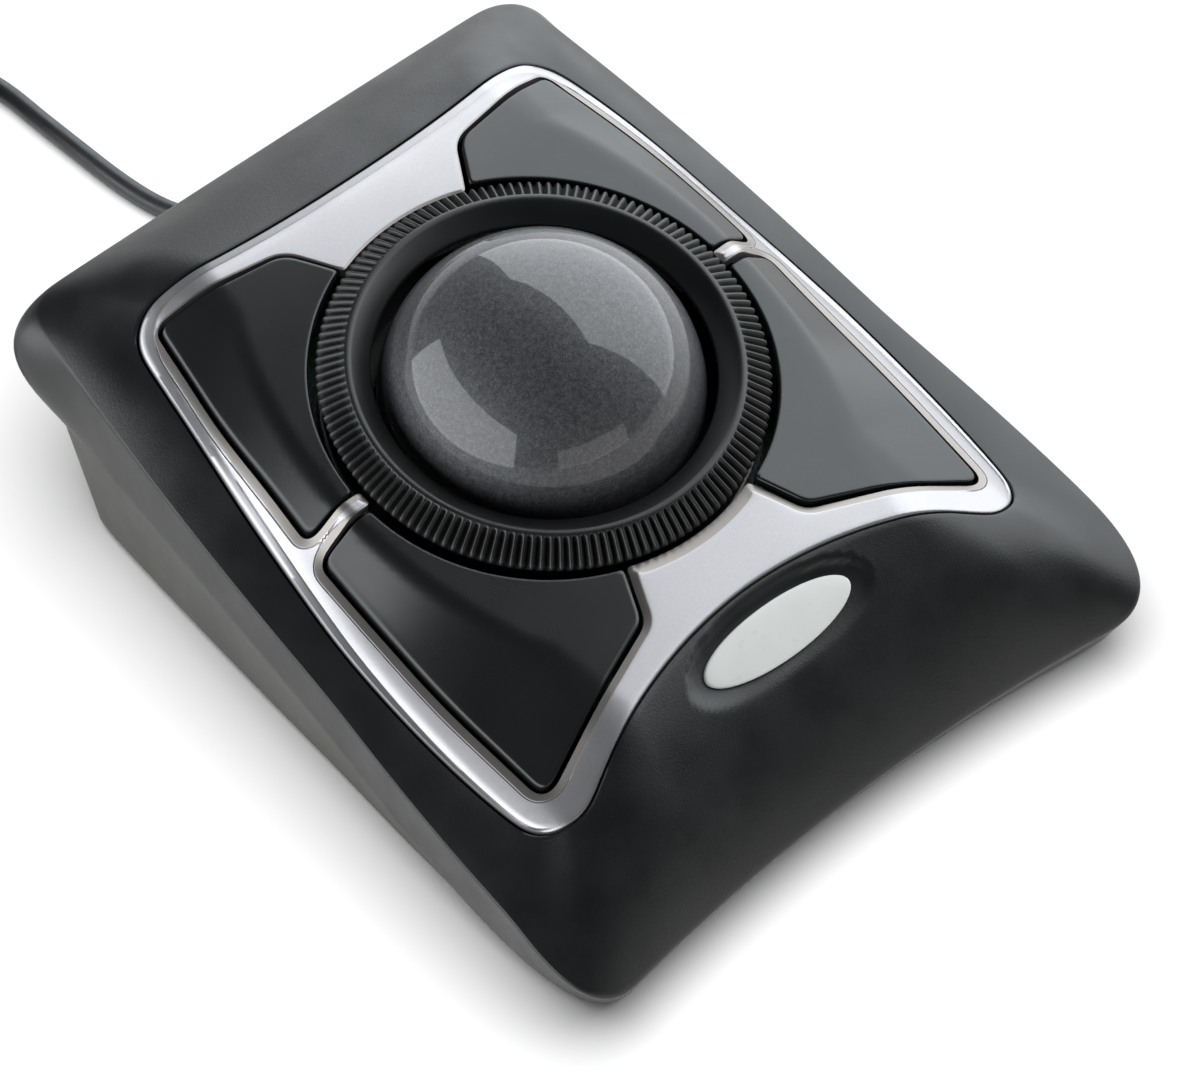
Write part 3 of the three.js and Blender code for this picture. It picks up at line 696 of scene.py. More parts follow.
def label_film():
    dark, light = (0.36, 0.37, 0.38), (0.44, 0.45, 0.46)
    return mottled("label_film", dark, light, (5, 3), (1.5, 3, 0.42, 0.55), (0.5, 0.006), 0.5, 0.3)


def circuit_board():
    shader = Shader("circuit_board", 0.4, Coat_Weight=0.3, Coat_Roughness=0.2)
    tracks = shader.cells(2.2, "DISTANCE_TO_EDGE").outputs["Distance"]
    lines = shader.spread(tracks, 0.04, 0.07, 1, 0)
    shader.colour(shader.blend(lines, (0.012, 0.085, 0.03), (0.03, 0.16, 0.06)))
    shader.roughness(shader.spread(lines, 0, 1, 0.45, 0.32))
    shader.bump(lines, 0.03)
    return shader.material


def plain_moulded(name, tone, roughness=0.5):
    dark = tuple(value * 0.85 for value in tone)
    gloss = (1, 3, roughness - 0.06, roughness + 0.08)
    return mottled(name, dark, tone, (2, 4), gloss, (0.3, 0.01), roughness)


def clear_lens():
    shader = Shader("clear_lens", 0.06, Transmission_Weight=0.9, IOR=1.49)
    shader.colour(shader.blend(shader.noise(2, 2), (0.85, 0.9, 0.92), (0.93, 0.95, 0.96)))
    shader.bump(shader.noise(1, 2), 0.003)
    return shader.material


COVER = cover_plastic()
BASE = base_plastic()
BUTTON = button_plastic()
RING = ring_plastic()
SILVER = silver_paint("silver_trim", (0.41, 0.397, 0.408))
# The chamfer takes a darker, warmer copy of the trim's silver: painted shade and a painted warm
# reflection.
SHADED_CHAMFER_SILVER = silver_paint("silver_chamfer_painted_shade", (0.27, 0.248, 0.232))
BALL = ball_resin()
RUBBER = rubber()
VINYL = cord_vinyl()
STEEL = plated_steel()
BADGE = badge_enamel()
LABEL = label_film()
BOARD = circuit_board()
CHIP = plain_moulded("chip_plastic", (0.022, 0.022, 0.023))
CUP = plain_moulded("cup_plastic", (0.02, 0.02, 0.021), 0.45)
WHITE = plain_moulded("white_plastic", (0.72, 0.71, 0.66), 0.45)
LENS = clear_lens()

# ---------------- camera

CAMERA_AZIMUTH = math.radians(-48.822)  # all in the deck's frame
CAMERA_ELEVATION = math.radians(59.073)
CAMERA_ROLL = math.radians(9.457)
CAMERA_DISTANCE = 858.644
CAMERA_AIM = (9.4496, -24.9876)  # where the deck's middle sits, off the view's axis
CAMERA_LENS = 155.717
CAMERA_SENSOR = 36


def make_camera():
    a, e, roll = CAMERA_AZIMUTH, CAMERA_ELEVATION, CAMERA_ROLL
    back = Vector((math.sin(a) * math.cos(e), -math.cos(a) * math.cos(e), math.sin(e)))
    right = Vector((math.cos(a), math.sin(a), 0))
    up = back.cross(right)
    turned_right = right * math.cos(roll) + up * math.sin(roll)
    turned_up = up * math.cos(roll) - right * math.sin(roll)
    away = turned_right * CAMERA_AIM[0] + turned_up * CAMERA_AIM[1] + back * CAMERA_DISTANCE
    facing = Matrix((turned_right, turned_up, back)).transposed().to_4x4()
    place = DECK_FRAME @ Matrix.Translation(away) @ facing
    data = bpy.data.cameras.new("camera")
    data.lens = CAMERA_LENS
    data.sensor_width = CAMERA_SENSOR
    data.clip_start, data.clip_end = 0.01, 20
    camera = bpy.data.objects.new("camera", data)
    bpy.context.scene.collection.objects.link(camera)
    place.translation *= MM
    camera.matrix_world = place
    bpy.context.scene.camera = camera


# ---------------- lead

LEAD_ROUTE = [  # from inside the case to the coil
    (0, 76, EXIT_HEIGHT), (0, 79, EXIT_HEIGHT),
    (0, 82, 9), (-0.3, 86, 8.7), (-1.3, 91, 6.9), (-3, 96, 4.2), (-5, 101.5, 2.3), (-6.9, 108, 1.9),
    (-8.2, 116, 1.9), (-9, 125, 1.9), (-9.8, 135, 1.9), (-10.7, 146, 2), (-13.6, 157.5, 2.55),
]
COIL_CENTRE = (-40, 166)
COIL_MEAN = 21.2
COIL_BOTTOM = 0.85
COIL_TURNS = 12.5
COIL_ACROSS, COIL_LAYERS = 3, 4
COIL_STEPS = 26  # points to a turn
PLUG_X = -68.5
PLUG_HEIGHT = 4.1
TAIL_ROUTE = [  # from the coil to inside the plug
    (-65.3, 152, 11.4), (-66.2, 147, 9.6), (-67.4, 141.5, 7), (-68.3, 137, 4.9),
    (PLUG_X, 133.8, PLUG_HEIGHT), (PLUG_X, 131, PLUG_HEIGHT),
]
PLUG_REAR = 133.3
PLUG_BODY_REAR = 126
PLUG_BODY_FRONT = 102
SHELL_FRONT = 89
RELIEF_END = 81.7


def coil_points():
    """Three turns across and four high, wound in and out, from the lead's side to the tail's."""
    points = []
    for step in range(int(COIL_TURNS * COIL_STEPS) + 1):
        turn = step / COIL_STEPS
        layer = min(int(turn / COIL_ACROSS), COIL_LAYERS - 1)
        along = turn - layer * COIL_ACROSS
        lane = min(max(along - 0.1, 0), COIL_ACROSS - 1)
        if layer % 2:
            lane = COIL_ACROSS - 1 - lane
        lift = max(0.0, 0.5 - along / 0.5) if layer else 0.0
        sink = max(0.0, (along - COIL_ACROSS + 0.25) / 0.5) if layer < COIL_LAYERS - 1 else 0.0
        radius = COIL_MEAN + (1 - lane) * CORD * 1.01
        height = COIL_BOTTOM + CORD / 2 + (layer - lift + sink) * CORD * 1.005
        angle = 2 * math.pi * turn
        x = COIL_CENTRE[0] + radius * math.cos(angle)
        y = COIL_CENTRE[1] + radius * math.sin(angle)
        points.append((x, y, height))
    return points


def smooth_path(points, spacing):
    """A centripetal curve through the points, as closely spaced points."""
    path = []
    points = [Vector(p) for p in points]
    ends = [points[0] * 2 - points[1]] + points + [points[-1] * 2 - points[-2]]
    for p0, p1, p2, p3 in zip(ends, ends[1:], ends[2:], ends[3:]):
        steps = max(1, int((p2 - p1).length / spacing))
        for step in range(steps):
            t = step / steps
            path.append(
                0.5 * (2 * p1 + (p2 - p0) * t + (2 * p0 - 5 * p1 + 4 * p2 - p3) * t**2
                       + (3 * p1 - p0 - 3 * p2 + p3) * t**3)
            )
    return path + [points[-1]]


def make_lead():
    curve = bpy.data.curves.new("lead", "CURVE")
    curve.dimensions = "3D"
    curve.bevel_depth = CORD / 2 * MM
    curve.bevel_resolution = 5
    curve.use_fill_caps = True
    path = smooth_path(LEAD_ROUTE + coil_points() + TAIL_ROUTE, 2.2)
    spline = curve.splines.new("POLY")
    spline.points.add(len(path) - 1)
    for point, place in zip(spline.points, path):
        point.co = (*(place * MM), 1)
    spline.use_smooth = True
    curve.materials.append(VINYL)
    lead = bpy.data.objects.new("lead", curve)
    bpy.context.scene.collection.objects.link(lead)
    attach(lead, "case")
    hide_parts("cord_lead", "cord_coil", "cord_tail")


def make_strain_relief():
    """A tapered sleeve with flexing slots round it, from the base's wall.

    Its profile is (radius, y): a collar inside the wall, a plain stretch, the slots and the mouth."""
    profile = [(0, 56.5), (4.2, 56.5), (4.4, 56.7), (4.4, 58.8), (4.2, 59), (3.0, 59.3), (3.0, 70.4)]
    first, last, slots = 71.0, 80.4, 6
    pitch = (last - first) / slots
    for slot in range(slots):
        start = first + slot * pitch
        radius = 3.0 - 0.75 * (start - first) / (last - first)
        profile += [(radius, start), (radius, start + pitch * 0.5)]
        profile.append((radius - 0.12, start + pitch * 0.58))
        profile += [(radius - 0.5, start + pitch * 0.62), (radius - 0.5, start + pitch * 0.92)]
    profile += [(2.25, last), (2.2, RELIEF_END - 0.3)]
    profile += [(radius, RELIEF_END) for radius in (1.95, 1.8, 0)]
    along_y = Matrix.Translation((0, 0, EXIT_HEIGHT)) @ Matrix.Rotation(-math.pi / 2, 4, "X")
    relief = make_piece("relief_sleeve", turned(profile, 40), [RUBBER], along_y)
    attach(relief, "case")
    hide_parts("strain_relief")
    return relief


def make_tie():
    """A flat strap round the coil's rear side, with rounded edges."""
    y = COIL_CENTRE[1] + COIL_MEAN
    z = COIL_BOTTOM + COIL_LAYERS * CORD / 2
    half_y = COIL_ACROSS * CORD / 2 + 1.0
    half_z = COIL_LAYERS * CORD / 2 + 0.47
    edge = [(3.8, 0.0), (4, 0.1), (4, 0.3), (3.8, 0.4)]  # how far aside, and how far out
    loops = []
    for x, grow in [(-x, grow) for x, grow in edge] + edge[::-1]:
        outline = rounded_box(half_y + grow, half_z + grow, 4.2, (y, z), 8)
        loops.append([(COIL_CENTRE[0] + x, a, b) for a, b in outline])
    tie = make_piece("strap", lofted(loops, closed=True), [RUBBER])
    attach(tie, "case")
    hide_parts("cord_tie")
    return tie


def across_plug(outline, y):
    """An outline in the plug's cross-section, placed at y along the plug."""
    return [(PLUG_X + x, y, PLUG_HEIGHT + z) for x, z in outline]


def make_plug_body():
    """Overmould with rounded edges and grip ribs, and a stepped neck round the lead."""
    front, rear = PLUG_BODY_FRONT, PLUG_BODY_REAR
    stations = [(front, 0.7), (front + 0.25, 0.25), (front + 0.8, 0.0)]
    for rib in range(6):
        start = front + 7 + rib * 2.2
        stations += [(start, 0.0), (start + 0.35, 0.35), (start + 0.95, 0.35), (start + 1.3, 0.0)]
    stations += [(rear - 1.6, 0.0), (rear - 0.7, 0.4), (rear - 0.2, 1.1), (rear, 2.0)]
    loops = [across_plug(rounded_box(8 - less, 4 - less * 0.9, 2.4), y) for y, less in stations]
    skin = capped(loops)
    steps = 14
    neck = []
    for step in range(steps + 1):
        groove = 0.35 if step % 3 == 2 and step < steps - 1 else 0
        outline = circle(3.2 - 0.9 * step / steps - groove, len(loops[0]))
        neck.append(across_plug(outline, rear + (PLUG_REAR - rear) * step / steps))
    skin.loft(neck)
    skin.fan(neck[-1])
    body = make_piece("plug_overmould", skin, [VINYL])
    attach(body, "case")
    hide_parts("plug_body")
    return body


def make_plug_casing():
    """The folded steel shell, open at its front."""
    sheet = 0.4
    rear = PLUG_BODY_FRONT - PIECE_GAP
    walls = [(rear, 0), (SHELL_FRONT + 0.15, 0), (SHELL_FRONT, -0.12)]
    walls += [(SHELL_FRONT, -sheet), (rear - 1, -sheet)]
    loops = [across_plug(rounded_box(6 + grow, 2.25 + grow, 0.7, steps=5), y) for y, grow in walls]
    casing = make_piece("plug_casing", capped(loops), [STEEL])
    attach(casing, "case")
    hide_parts("plug_shell")
    return casing


def make_latch_shade():
    """Dark squares of painted shade on both sides of the shell, where its latch holes are."""
    skin = Skin()
    for x in (-3.2, 3.2):
        for z in (2.27, -2.27):
            outline = rounded_box(1.2, 1.1, 0.2, (PLUG_X + x, SHELL_FRONT + 5.4), 3)
            skin.fan(raised(outline, PLUG_HEIGHT + z))
    # The dark chip plastic here is painted shade, standing in for the plug's dark inside seen through
    # the holes.
    holes = make_piece("plug_latch_shade", skin, [CHIP])
    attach(holes, "case")
    return holes


def make_plug_blade():
    """The white tongue that carries the contacts."""
    middle = (SHELL_FRONT + 0.6 + PLUG_BODY_FRONT - PIECE_GAP - 1.3) / 2
    loops = []
    for z, less in ((-1.45, 0.25), (-1.2, 0), (0.0, 0), (0.2, 0.25)):
        outline = rounded_box(5.2 - less, 5.9 - less, 0.5, (PLUG_X, middle), 4)
        loops.append(raised(outline, PLUG_HEIGHT + z))
    blade = make_piece("plug_blade", capped(loops), [WHITE])
    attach(blade, "case")
    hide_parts("plug_tongue")
    return blade


def make_plug_contacts():
    skin = Skin()
    for index in range(4):
        x = PLUG_X - 3.5 + index * 7 / 3
        outline = rounded_box(0.5, 3.6, 0.15, (x, SHELL_FRONT + 5.2), 3)
        skin.fan(raised(outline, PLUG_HEIGHT + 0.215))
    contacts = make_piece("plug_contacts", skin, [STEEL])
    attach(contacts, "case")
    return contacts


def make_plug():
    pieces = [make_plug_body(), make_plug_casing(), make_latch_shade()]
    return pieces + [make_plug_blade(), make_plug_contacts()]


# ---------------- trim plate

CHAMFER_WIDTH = 1.2  # beside the buttons, where it faces the rear or the middle
NARROW_CHAMFER = 0.3  # where it faces the front
HOLE_CHAMFER_REAR = 0.5  # beside the ring's hole, at its rear and at its front
HOLE_CHAMFER_FRONT = 2.1
CHAMFER_DROP = 0.42
# Profiles of the trim's top: distances from an edge, and heights above the deck's surface there.
CHAMFER_LINE = ([0, 1, 1.1, 1.4], [-1, -0.1, -0.03, 0])
BEAD_LINE = (
    [0, 0.1, 0.25, 0.6, 0.95, 1.1, 1.25, 1.4, 1.8, 2.3, 2.9],
    [-0.35, -0.05, 0.13, 0.03, -0.09, -0.15, -0.26, -0.22, -0.1, -0.03, 0],
)
ROUNDED_LINE = ([0, 0.1, 0.35, 0.85, 1.8], [-0.45, -0.25, -0.12, -0.03, 0])
SCORE_LINE = ([1.04, 1.16, 1.28], [0, 1, 0])  # a fine groove beside the chamfer, at the sides
SCORE_DEPTH = 0.28
HOLE_LINES = (0.5, 1, 1.04, 1.16, 1.28, 1.5)  # rows of points beside the opening
TRIM_DEPTH = 2.0


def chamfer_widths(hole):
    """The chamfer's width at each point of the opening, eased where its parts meet."""
    front = np.clip(0.5 - hole[:, 1] / (2 * RING_HOLE), 0, 1)
    round_ring = HOLE_CHAMFER_REAR + (HOLE_CHAMFER_FRONT - HOLE_CHAMFER_REAR) * front
    beside_ring = np.abs(np.linalg.norm(hole, axis=1) - RING_HOLE) < 0.1
    facing = np.clip(0.5 - 1.6 * outward(hole)[:, 1], 0, 1)
    facing = np.where(np.abs(hole[:, 0]) > 43.5, 1, facing)
    beside_button = NARROW_CHAMFER + (CHAMFER_WIDTH - NARROW_CHAMFER) * facing
    return relax(np.where(beside_ring, round_ring, beside_button)[:, None], 12)[:, 0]


def bead_scales(rim):
    """The bead is narrow at the front of each side and widest round the rear corners."""
    along = np.interp(rim[:, 1], [-58, -35, -10, 40], [0.45, 0.8, 1.15, 1.2])
    from_corner = (np.abs(rim[:, 0]) - 45) ** 2 + (rim[:, 1] - 50) ** 2
    return along + 0.75 * np.exp(-from_corner / 60)


def bead_shares(rim):
    """The bead fades into a plain rounded edge along the front."""
    return np.clip((outward(rim)[:, 1] + 0.8) / 0.5, 0, 1)


def make_trim():
    outer = even(offset(DECK_LINE, -PIECE_GAP), EDGE_STEP)
    hole = trim_hole()
    widths = chamfer_widths(hole)
    scales = bead_scales(outer)
    shares = bead_shares(outer)

    def from_hole(flat):
        """Distances from the opening in chamfer widths, and the chamfer's depth there."""
        away, place = nearest_on(flat, hole)
        width = share_along(place, widths)
        return away / width, CHAMFER_DROP * np.clip(width / CHAMFER_WIDTH, 0, 1)

    def height(flat):
        flat = np.asarray(flat)[:, :2]
        chamfer_part, drop = from_hole(flat)
        score = np.interp(chamfer_part, *SCORE_LINE) * np.clip((np.abs(flat[:, 0]) - 42) / 4, 0, 1)
        away, place = nearest_on(flat, outer)
        rim_part = away / share_along(place, scales)
        share = share_along(place, shares)
        rim = share * np.interp(rim_part, *BEAD_LINE)
        rim += (1 - share) * np.interp(rim_part, *ROUNDED_LINE)
        chamfer = drop * np.interp(chamfer_part, *CHAMFER_LINE)
        return deck_height(flat) + chamfer - SCORE_DEPTH * score + rim

    # Faces on the chamfer take the silver copy with painted shade and a painted warm reflection.
    def mark(flat):
        return from_hole(np.asarray(flat)[:, :2])[0] < 1

    lines = (BEAD_LINE[0][1:], HOLE_LINES)
    skin = plate([outer, hole], height, TRIM_DEPTH, lines, 1.3, mark, [scales, widths])
    trim = make_piece("trim", skin, [SILVER, SHADED_CHAMFER_SILVER], DECK_FRAME, 28)
    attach(trim, "case")
    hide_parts("trim_plate")


# ---------------- buttons

BUTTON_LEAN = 0.055
LEAN_INNER, LEAN_MIDDLE, LEAN_OUTER = 14, 23, 49  # where it starts, where it is zero, where it ends
BUTTON_PROUD = 0.3
BUTTON_EDGE = 0.45  # how far its edge's rounding reaches
BUTTON_DEPTH = 1.6


def button_lean(flat):
    """Each cap leans outwards a little: high at the ring, low at the fold, level at the edge."""
    side, fold = np.abs(flat[:, 0]), fold_side(flat[:, 1])
    down = -BUTTON_LEAN * (np.maximum(side, LEAN_INNER) - LEAN_MIDDLE)
    back = np.clip((LEAN_OUTER - side) / (LEAN_OUTER - fold), 0, 1)
    return np.where(side < fold, down, -BUTTON_LEAN * (fold - LEAN_MIDDLE) * back)


def make_button(row, side_name, side):
    loop = button_loop(row, side)

    def height(flat):
        flat = np.asarray(flat)[:, :2]
        part = np.clip(distance_to(flat, loop) / BUTTON_EDGE, 0, 1)
        rounding = BUTTON_EDGE * (1 - np.sqrt(1 - (1 - part) ** 2))
        return deck_height(flat) + BUTTON_PROUD + button_lean(flat) - rounding

    lines = (tuple(BUTTON_EDGE * part for part in (0.05, 0.25, 0.55, 1.0, 1.6, 3.0)),)
    skin = plate([loop], height, BUTTON_DEPTH, lines, 1.1)
    name = f"{row}_{side_name}"
    cap = make_piece(f"cap_{name}", skin, [BUTTON], DECK_FRAME, 40)
    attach(cap, f"button_{name}")
    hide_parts(f"button_{name}")


def make_buttons():
    for row in ("upper", "lower"):
        make_button(row, "left", -1)
        make_button(row, "right", 1)


# ---------------- scroll ring and ball

RIB_COUNT = 144
RIB_STEPS = 10  # points across a rib
RIB_DEPTH = 1.05
RIB_SHARPNESS = 1.25
BEVEL_OUT, BEVEL_UP = 0.52, 0.85  # the way that the bevel faces
# The ring's section, from its inner foot over the lip and down the bevel: (radius, height), and on
# the bevel how much of the ribs' depth there is.
RING_LIP = [
    (28.7, 3.9), (28.7, 4.7), (28.95, 5.05), (31.9, 7.2), (32.3, 7.42), (32.9, 7.42), (33.15, 7.3),
]
RING_BEVEL = [
    (33.3, 7.15, 0.0), (33.6, 6.98, 0.8), (34.4, 6.5, 1.0), (35.5, 5.85, 1.0), (36.6, 5.2, 1.0),
    (37.35, 4.72, 1.0), (37.7, 4.3, 0.9), (37.8, 3.8, 0.9),
]
RING_UNDER = [(36.6, 3.2), (36.6, -4), (34.8, -4), (34.8, 2.6), (31, 2.6), (28.7, 3.9)]


def ribbed_loop(radius, height, share):
    """A loop round the bevel, sunk between the ribs by a share of their depth."""
    segments = RIB_COUNT * RIB_STEPS
    loop = []
    for i in range(segments):
        phase = (i % RIB_STEPS) / RIB_STEPS
        crest = abs(math.sin(math.pi * phase)) ** RIB_SHARPNESS
        sink = RIB_DEPTH * share * (1 - crest)
        angle = 2 * math.pi * i / segments
        reach = radius - sink * BEVEL_OUT
        loop.append((reach * math.cos(angle), reach * math.sin(angle), height - sink * BEVEL_UP))
    return loop


def make_ring():
    """The ring's inner slope, its bright upper lip, and the rounded ribs down its bevel."""
    segments = RIB_COUNT * RIB_STEPS
    loops = [ring_points(point, segments) for point in RING_LIP]
    loops += [ribbed_loop(*point) for point in RING_BEVEL]
    loops += [ring_points(point, segments) for point in RING_UNDER]
    ring = make_piece("ribbed_ring", lofted(loops), [RING], DECK_FRAME, 50)
    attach(ring, "scroll_ring")
    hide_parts("scroll_ring")


def make_ball():
    rows, columns = 72, 144
    profile = []
    for row in range(rows + 1):
        angle = math.pi * row / rows - math.pi / 2
        profile.append((BALL_RADIUS * math.cos(angle), BALL_RADIUS * math.sin(angle) - BALL_SINK))
    ball = make_piece("pearl_ball", turned(profile, columns), [BALL], DECK_FRAME, 180)
    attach(ball, "ball")
    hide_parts("ball")


# ---------------- case

CREASE = half_line(
    (0, 78.2, 37.6),
    [
        ((24, 78.2, 37.6), (45.5, 78, 37.5)),
        ((54.2, 78, 37.3), (54.8, 69, 37.2)),
        ((60, 30.6, 32.6), (61, -12.4, 25.8)),
        ((63.6, -39.4, 22), (63.6, -61.4, 19.3)),
        ((65.2, -80, 13.2), (54, -78.5, 10)),
        ((28, -74.2, 9.5), (0, -74.2, 9.5)),
    ],
)
SKIRT = half_line(
    (0, 70.6, 20.5),
    [
        ((24, 70.6, 20.5), (44, 70.6, 20.8)),
        ((57, 70.6, 21.2), (57.5, 63.6, 22.5)),
        ((60.6, 28.6, 23.6), (62, -12.4, 17)),
        ((63.2, -35.4, 10.2), (62.4, -54.4, 7)),
        ((61.6, -76, 4.2), (53, -76, 4)),
        ((27, -71.8, 4), (0, -71.8, 4)),
    ],
)
FLOOR_LINE = half_line(
    (0, 62.2),
    [
        ((24, 62.2), (44, 62.2)),
        ((57, 62.2), (57.8, 54.6)),
        ((59.2, 22.6), (59.4, -11.4)),
        ((60.4, -37.4), (59.6, -55.4)),
        ((58.8, -71.4), (51, -72.4)),
        ((26, -68.9), (0, -68.9)),
    ],
)
FLOOR = np.array(raised(FLOOR_LINE, BASE_BOTTOM))
SHOULDER_CROWN = 0.002  # how high the shoulder swells, for the square of its width
REAR_CORNER = (54, 76)
CORNER_REACH = (8, 11)
SIDE_SWELL, CORNER_SWELL, REAR_SWELL = 3.4, 1.6, 0.075
CREASE_START = 0.965  # where the shoulder starts to round over into the skirt
CREASE_END = 0.05  # how far down the skirt that rounding ends


def shoulder_point(start, end, part):
    """Part of the way from the opening to the crease, crowned square to the straight way."""
    across = end - start
    x, y, z = across.T
    flat = np.maximum(np.hypot(x, y), 1e-6)
    out = np.stack([-x * z / flat, -y * z / flat, flat], axis=1)
    out /= np.linalg.norm(out, axis=1, keepdims=True)
    crown = SHOULDER_CROWN * np.sum(across**2, axis=1) * 4 * part * (1 - part)
    return start + across * part + out * crown[:, None]


def skirt_point(start, end, part):
    """Part of the way down the skirt, swelling at the rear and most at the rear corners."""
    point = start + (end - start) * part
    tuck = start[:, 1] - end[:, 1]
    arch = 4 * part * (1 - part)
    aside = np.abs(start[:, 0]) - REAR_CORNER[0]
    behind = start[:, 1] - REAR_CORNER[1]
    corner = np.exp(-((aside / CORNER_REACH[0]) ** 2) - (behind / CORNER_REACH[1]) ** 2)
    swell = REAR_SWELL * tuck**2 + CORNER_SWELL * corner
    point[:, 0] += SIDE_SWELL * corner * arch * np.sign(start[:, 0])
    point[:, 1] += np.where(start[:, 1] > 0, swell * arch, 0)
    return point


BADGE_CENTRE = Vector((0, -52.4, 30.6))
BADGE_SLOPE = math.radians(28)
BADGE_REACH = (15.5, 4.7)
BADGE_FRAME = Matrix.Translation(BADGE_CENTRE) @ Matrix.Rotation(BADGE_SLOPE, 4, "X")
DIMPLE_REACH = (19, 7.9)
DIMPLE_BOTTOM = -0.55  # in the badge's frame, whose zero is the badge's underside
DIMPLE_DEPTH = 1.8
DIMPLE_FORWARD = 0.5
DIMPLE_SOFTNESS = 0.4
DIMPLE_NEAR = 8  # surface further from the badge than this is left alone


def with_dimple(points):
    """Scoops the badge's shallow oval dimple out of the cover's surface."""
    into = BADGE_FRAME.inverted()
    local = np.array([into @ Vector(point) for point in points])
    across, along = local[:, 0] / DIMPLE_REACH[0], (local[:, 1] + DIMPLE_FORWARD) / DIMPLE_REACH[1]
    level = across**2 + along**2
    bowl = DIMPLE_BOTTOM + DIMPLE_DEPTH * (1 - np.sqrt(np.clip(1 - level, 0, 1)))
    near = (level < 1) & (np.abs(local[:, 2]) < DIMPLE_NEAR)
    depth = np.where(near, soft_ramp(local[:, 2] - bowl, DIMPLE_SOFTNESS), 0)
    down = np.array(BADGE_FRAME.to_3x3() @ Vector((0, 0, -1)))
    return points + depth[:, None] * down


# The ledge that carries the trim: how far outside the deck's line its loops lie, and how deep.
LEDGE = ((-3, 2.4), (0, 2.4), (0, 0.5), (0.12, 0.16))
LEDGE_BACK = ((0.4, 4.8), (-3, 4.8))
SHOULDER_START, SHOULDER_STEPS = 0.02, 44
CREASE_STEPS = 8
SKIRT_STEPS, SKIRT_END = 14, 0.97


def deck_ring(grow, drop):
    return deck_points(offset(DECK_LINE, grow), drop)


def outside_rings():
    """Loops down the cover's outer surface, from the trim's opening to the lip of the skirt."""
    opening = deck_ring(0, 0)
    rings = []
    for step in range(SHOULDER_STEPS + 1):
        part = SHOULDER_START + (CREASE_START - SHOULDER_START) * step / SHOULDER_STEPS
        rings.append(with_dimple(shoulder_point(opening, CREASE, part)))
    before = shoulder_point(opening, CREASE, CREASE_START)
    after = skirt_point(CREASE, SKIRT, CREASE_END)
    for step in range(1, CREASE_STEPS):
        t = step / CREASE_STEPS
        rings.append((1 - t) ** 2 * before + 2 * t * (1 - t) * CREASE + t**2 * after)
    for step in range(SKIRT_STEPS + 1):
        part = CREASE_END + (SKIRT_END - CREASE_END) * step / SKIRT_STEPS
        rings.append(skirt_point(CREASE, SKIRT, part))
    return rings


def inside_rings():
    """Loops round the skirt's lip and up the cover's inner surface, to below the trim's opening."""
    opening = deck_ring(0, 0)
    bottom = skirt_point(CREASE, SKIRT, 1.0)
    return [
        offset(bottom, -0.25) + [0, 0, -0.02],
        offset(bottom, -WALL + 0.2),
        offset(bottom, -WALL) + [0, 0, 0.5],
        offset(skirt_point(CREASE, SKIRT, 0.5), -WALL),
        offset(CREASE, -WALL) - [0, 0, 1.6],
        offset(shoulder_point(opening, CREASE, 0.5), -0.8) - [0, 0, WALL],
    ]


def make_cover():
    rings = [deck_ring(*place) for place in LEDGE]
    rings += outside_rings() + inside_rings()
    rings += [deck_ring(*place) for place in LEDGE_BACK]
    cover = make_piece("cover", lofted(rings, closed=True), [COVER], sharp=50)
    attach(cover, "case")
    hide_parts("top_cover")


FEET = {
    "rear_right": (40, 46),
    "rear_left": (-40, 46),
    "front_right": (44, -64),
    "front_left": (-44, -64),
}
SCREWS = [(38, 55, 20), (-38, 55, 20), (43, -53.5, 9), (-43, -53.5, 9)]  # x, y and the boss's height
WELL_ROOF = 4  # a screw's well ends this far below the boss
WELL_RADIUS = 2.95
BASE_EDGE = 1.6  # radius of the tray's lower edge


def base_rings():
    """Loops from the edge of the underside, up the tray's side, over its rim and down inside."""
    rings = [offset(FLOOR, -BASE_EDGE)]
    for step in range(1, 7):
        angle = math.pi / 2 * step / 6
        inset = BASE_EDGE * (1 - math.sin(angle))
        lift = BASE_EDGE * (1 - math.cos(angle))
        rings.append(offset(FLOOR, -inset) + [0, 0, lift])
    start = FLOOR + [0, 0, BASE_EDGE]
    top = offset(SKIRT, -0.6) - [0, 0, PIECE_GAP]
    rings += [start + (top - start) * step / 12 for step in range(1, 13)]
    inner = WALL + PIECE_GAP
    rim = ((0.9, 0.2 - PIECE_GAP), (inner, 0.2 - PIECE_GAP), (inner + 1.2, 2), (inner + 2.8, 2))
    rings += [offset(SKIRT, -inset) + [0, 0, lift] for inset, lift in rim]
    rings.append(offset(FLOOR, -WALL) + [0, 0, WALL])
    return rings


def base_bays():
    """The recesses in the underside, each as its outline and its roof's height."""
    foot = (FOOT_HALF[0] + PIECE_GAP, FOOT_HALF[1] + PIECE_GAP)
    label = rounded_box(LABEL_HALF[0] + PIECE_GAP, LABEL_HALF[1] + PIECE_GAP, 2)
    bays = []
    for place in FEET.values():
        bays.append((even(rounded_box(*foot, 4, place), 0.9), FOOT_HEIGHT + PIECE_GAP))
    bays.append((even(label, 1.2), BASE_BOTTOM + 0.6))
    bays += [(circle(WELL_RADIUS, 32, (x, y)), boss - WELL_ROOF) for x, y, boss in SCREWS]
    return bays


def make_base():
    """The tray: rounded lower edge, sides up to the cover, foot recesses and screw wells."""
    rings = base_rings()
    skin = lofted(rings)
    skin.fan(rings[-1])
    bays = base_bays()
    flat, faces = fill([rings[0]] + [outline for outline, _ in bays], 5.0)
    for face in faces:
        skin.face([(flat[i][0], flat[i][1], BASE_BOTTOM) for i in face])
    for outline, roof in bays:
        skin.band(raised(outline, BASE_BOTTOM), raised(outline, roof))
        skin.fan(raised(outline, roof))
    base = make_piece("tray", skin, [BASE], sharp=40)
    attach(base, "case")
    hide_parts("base_shell")


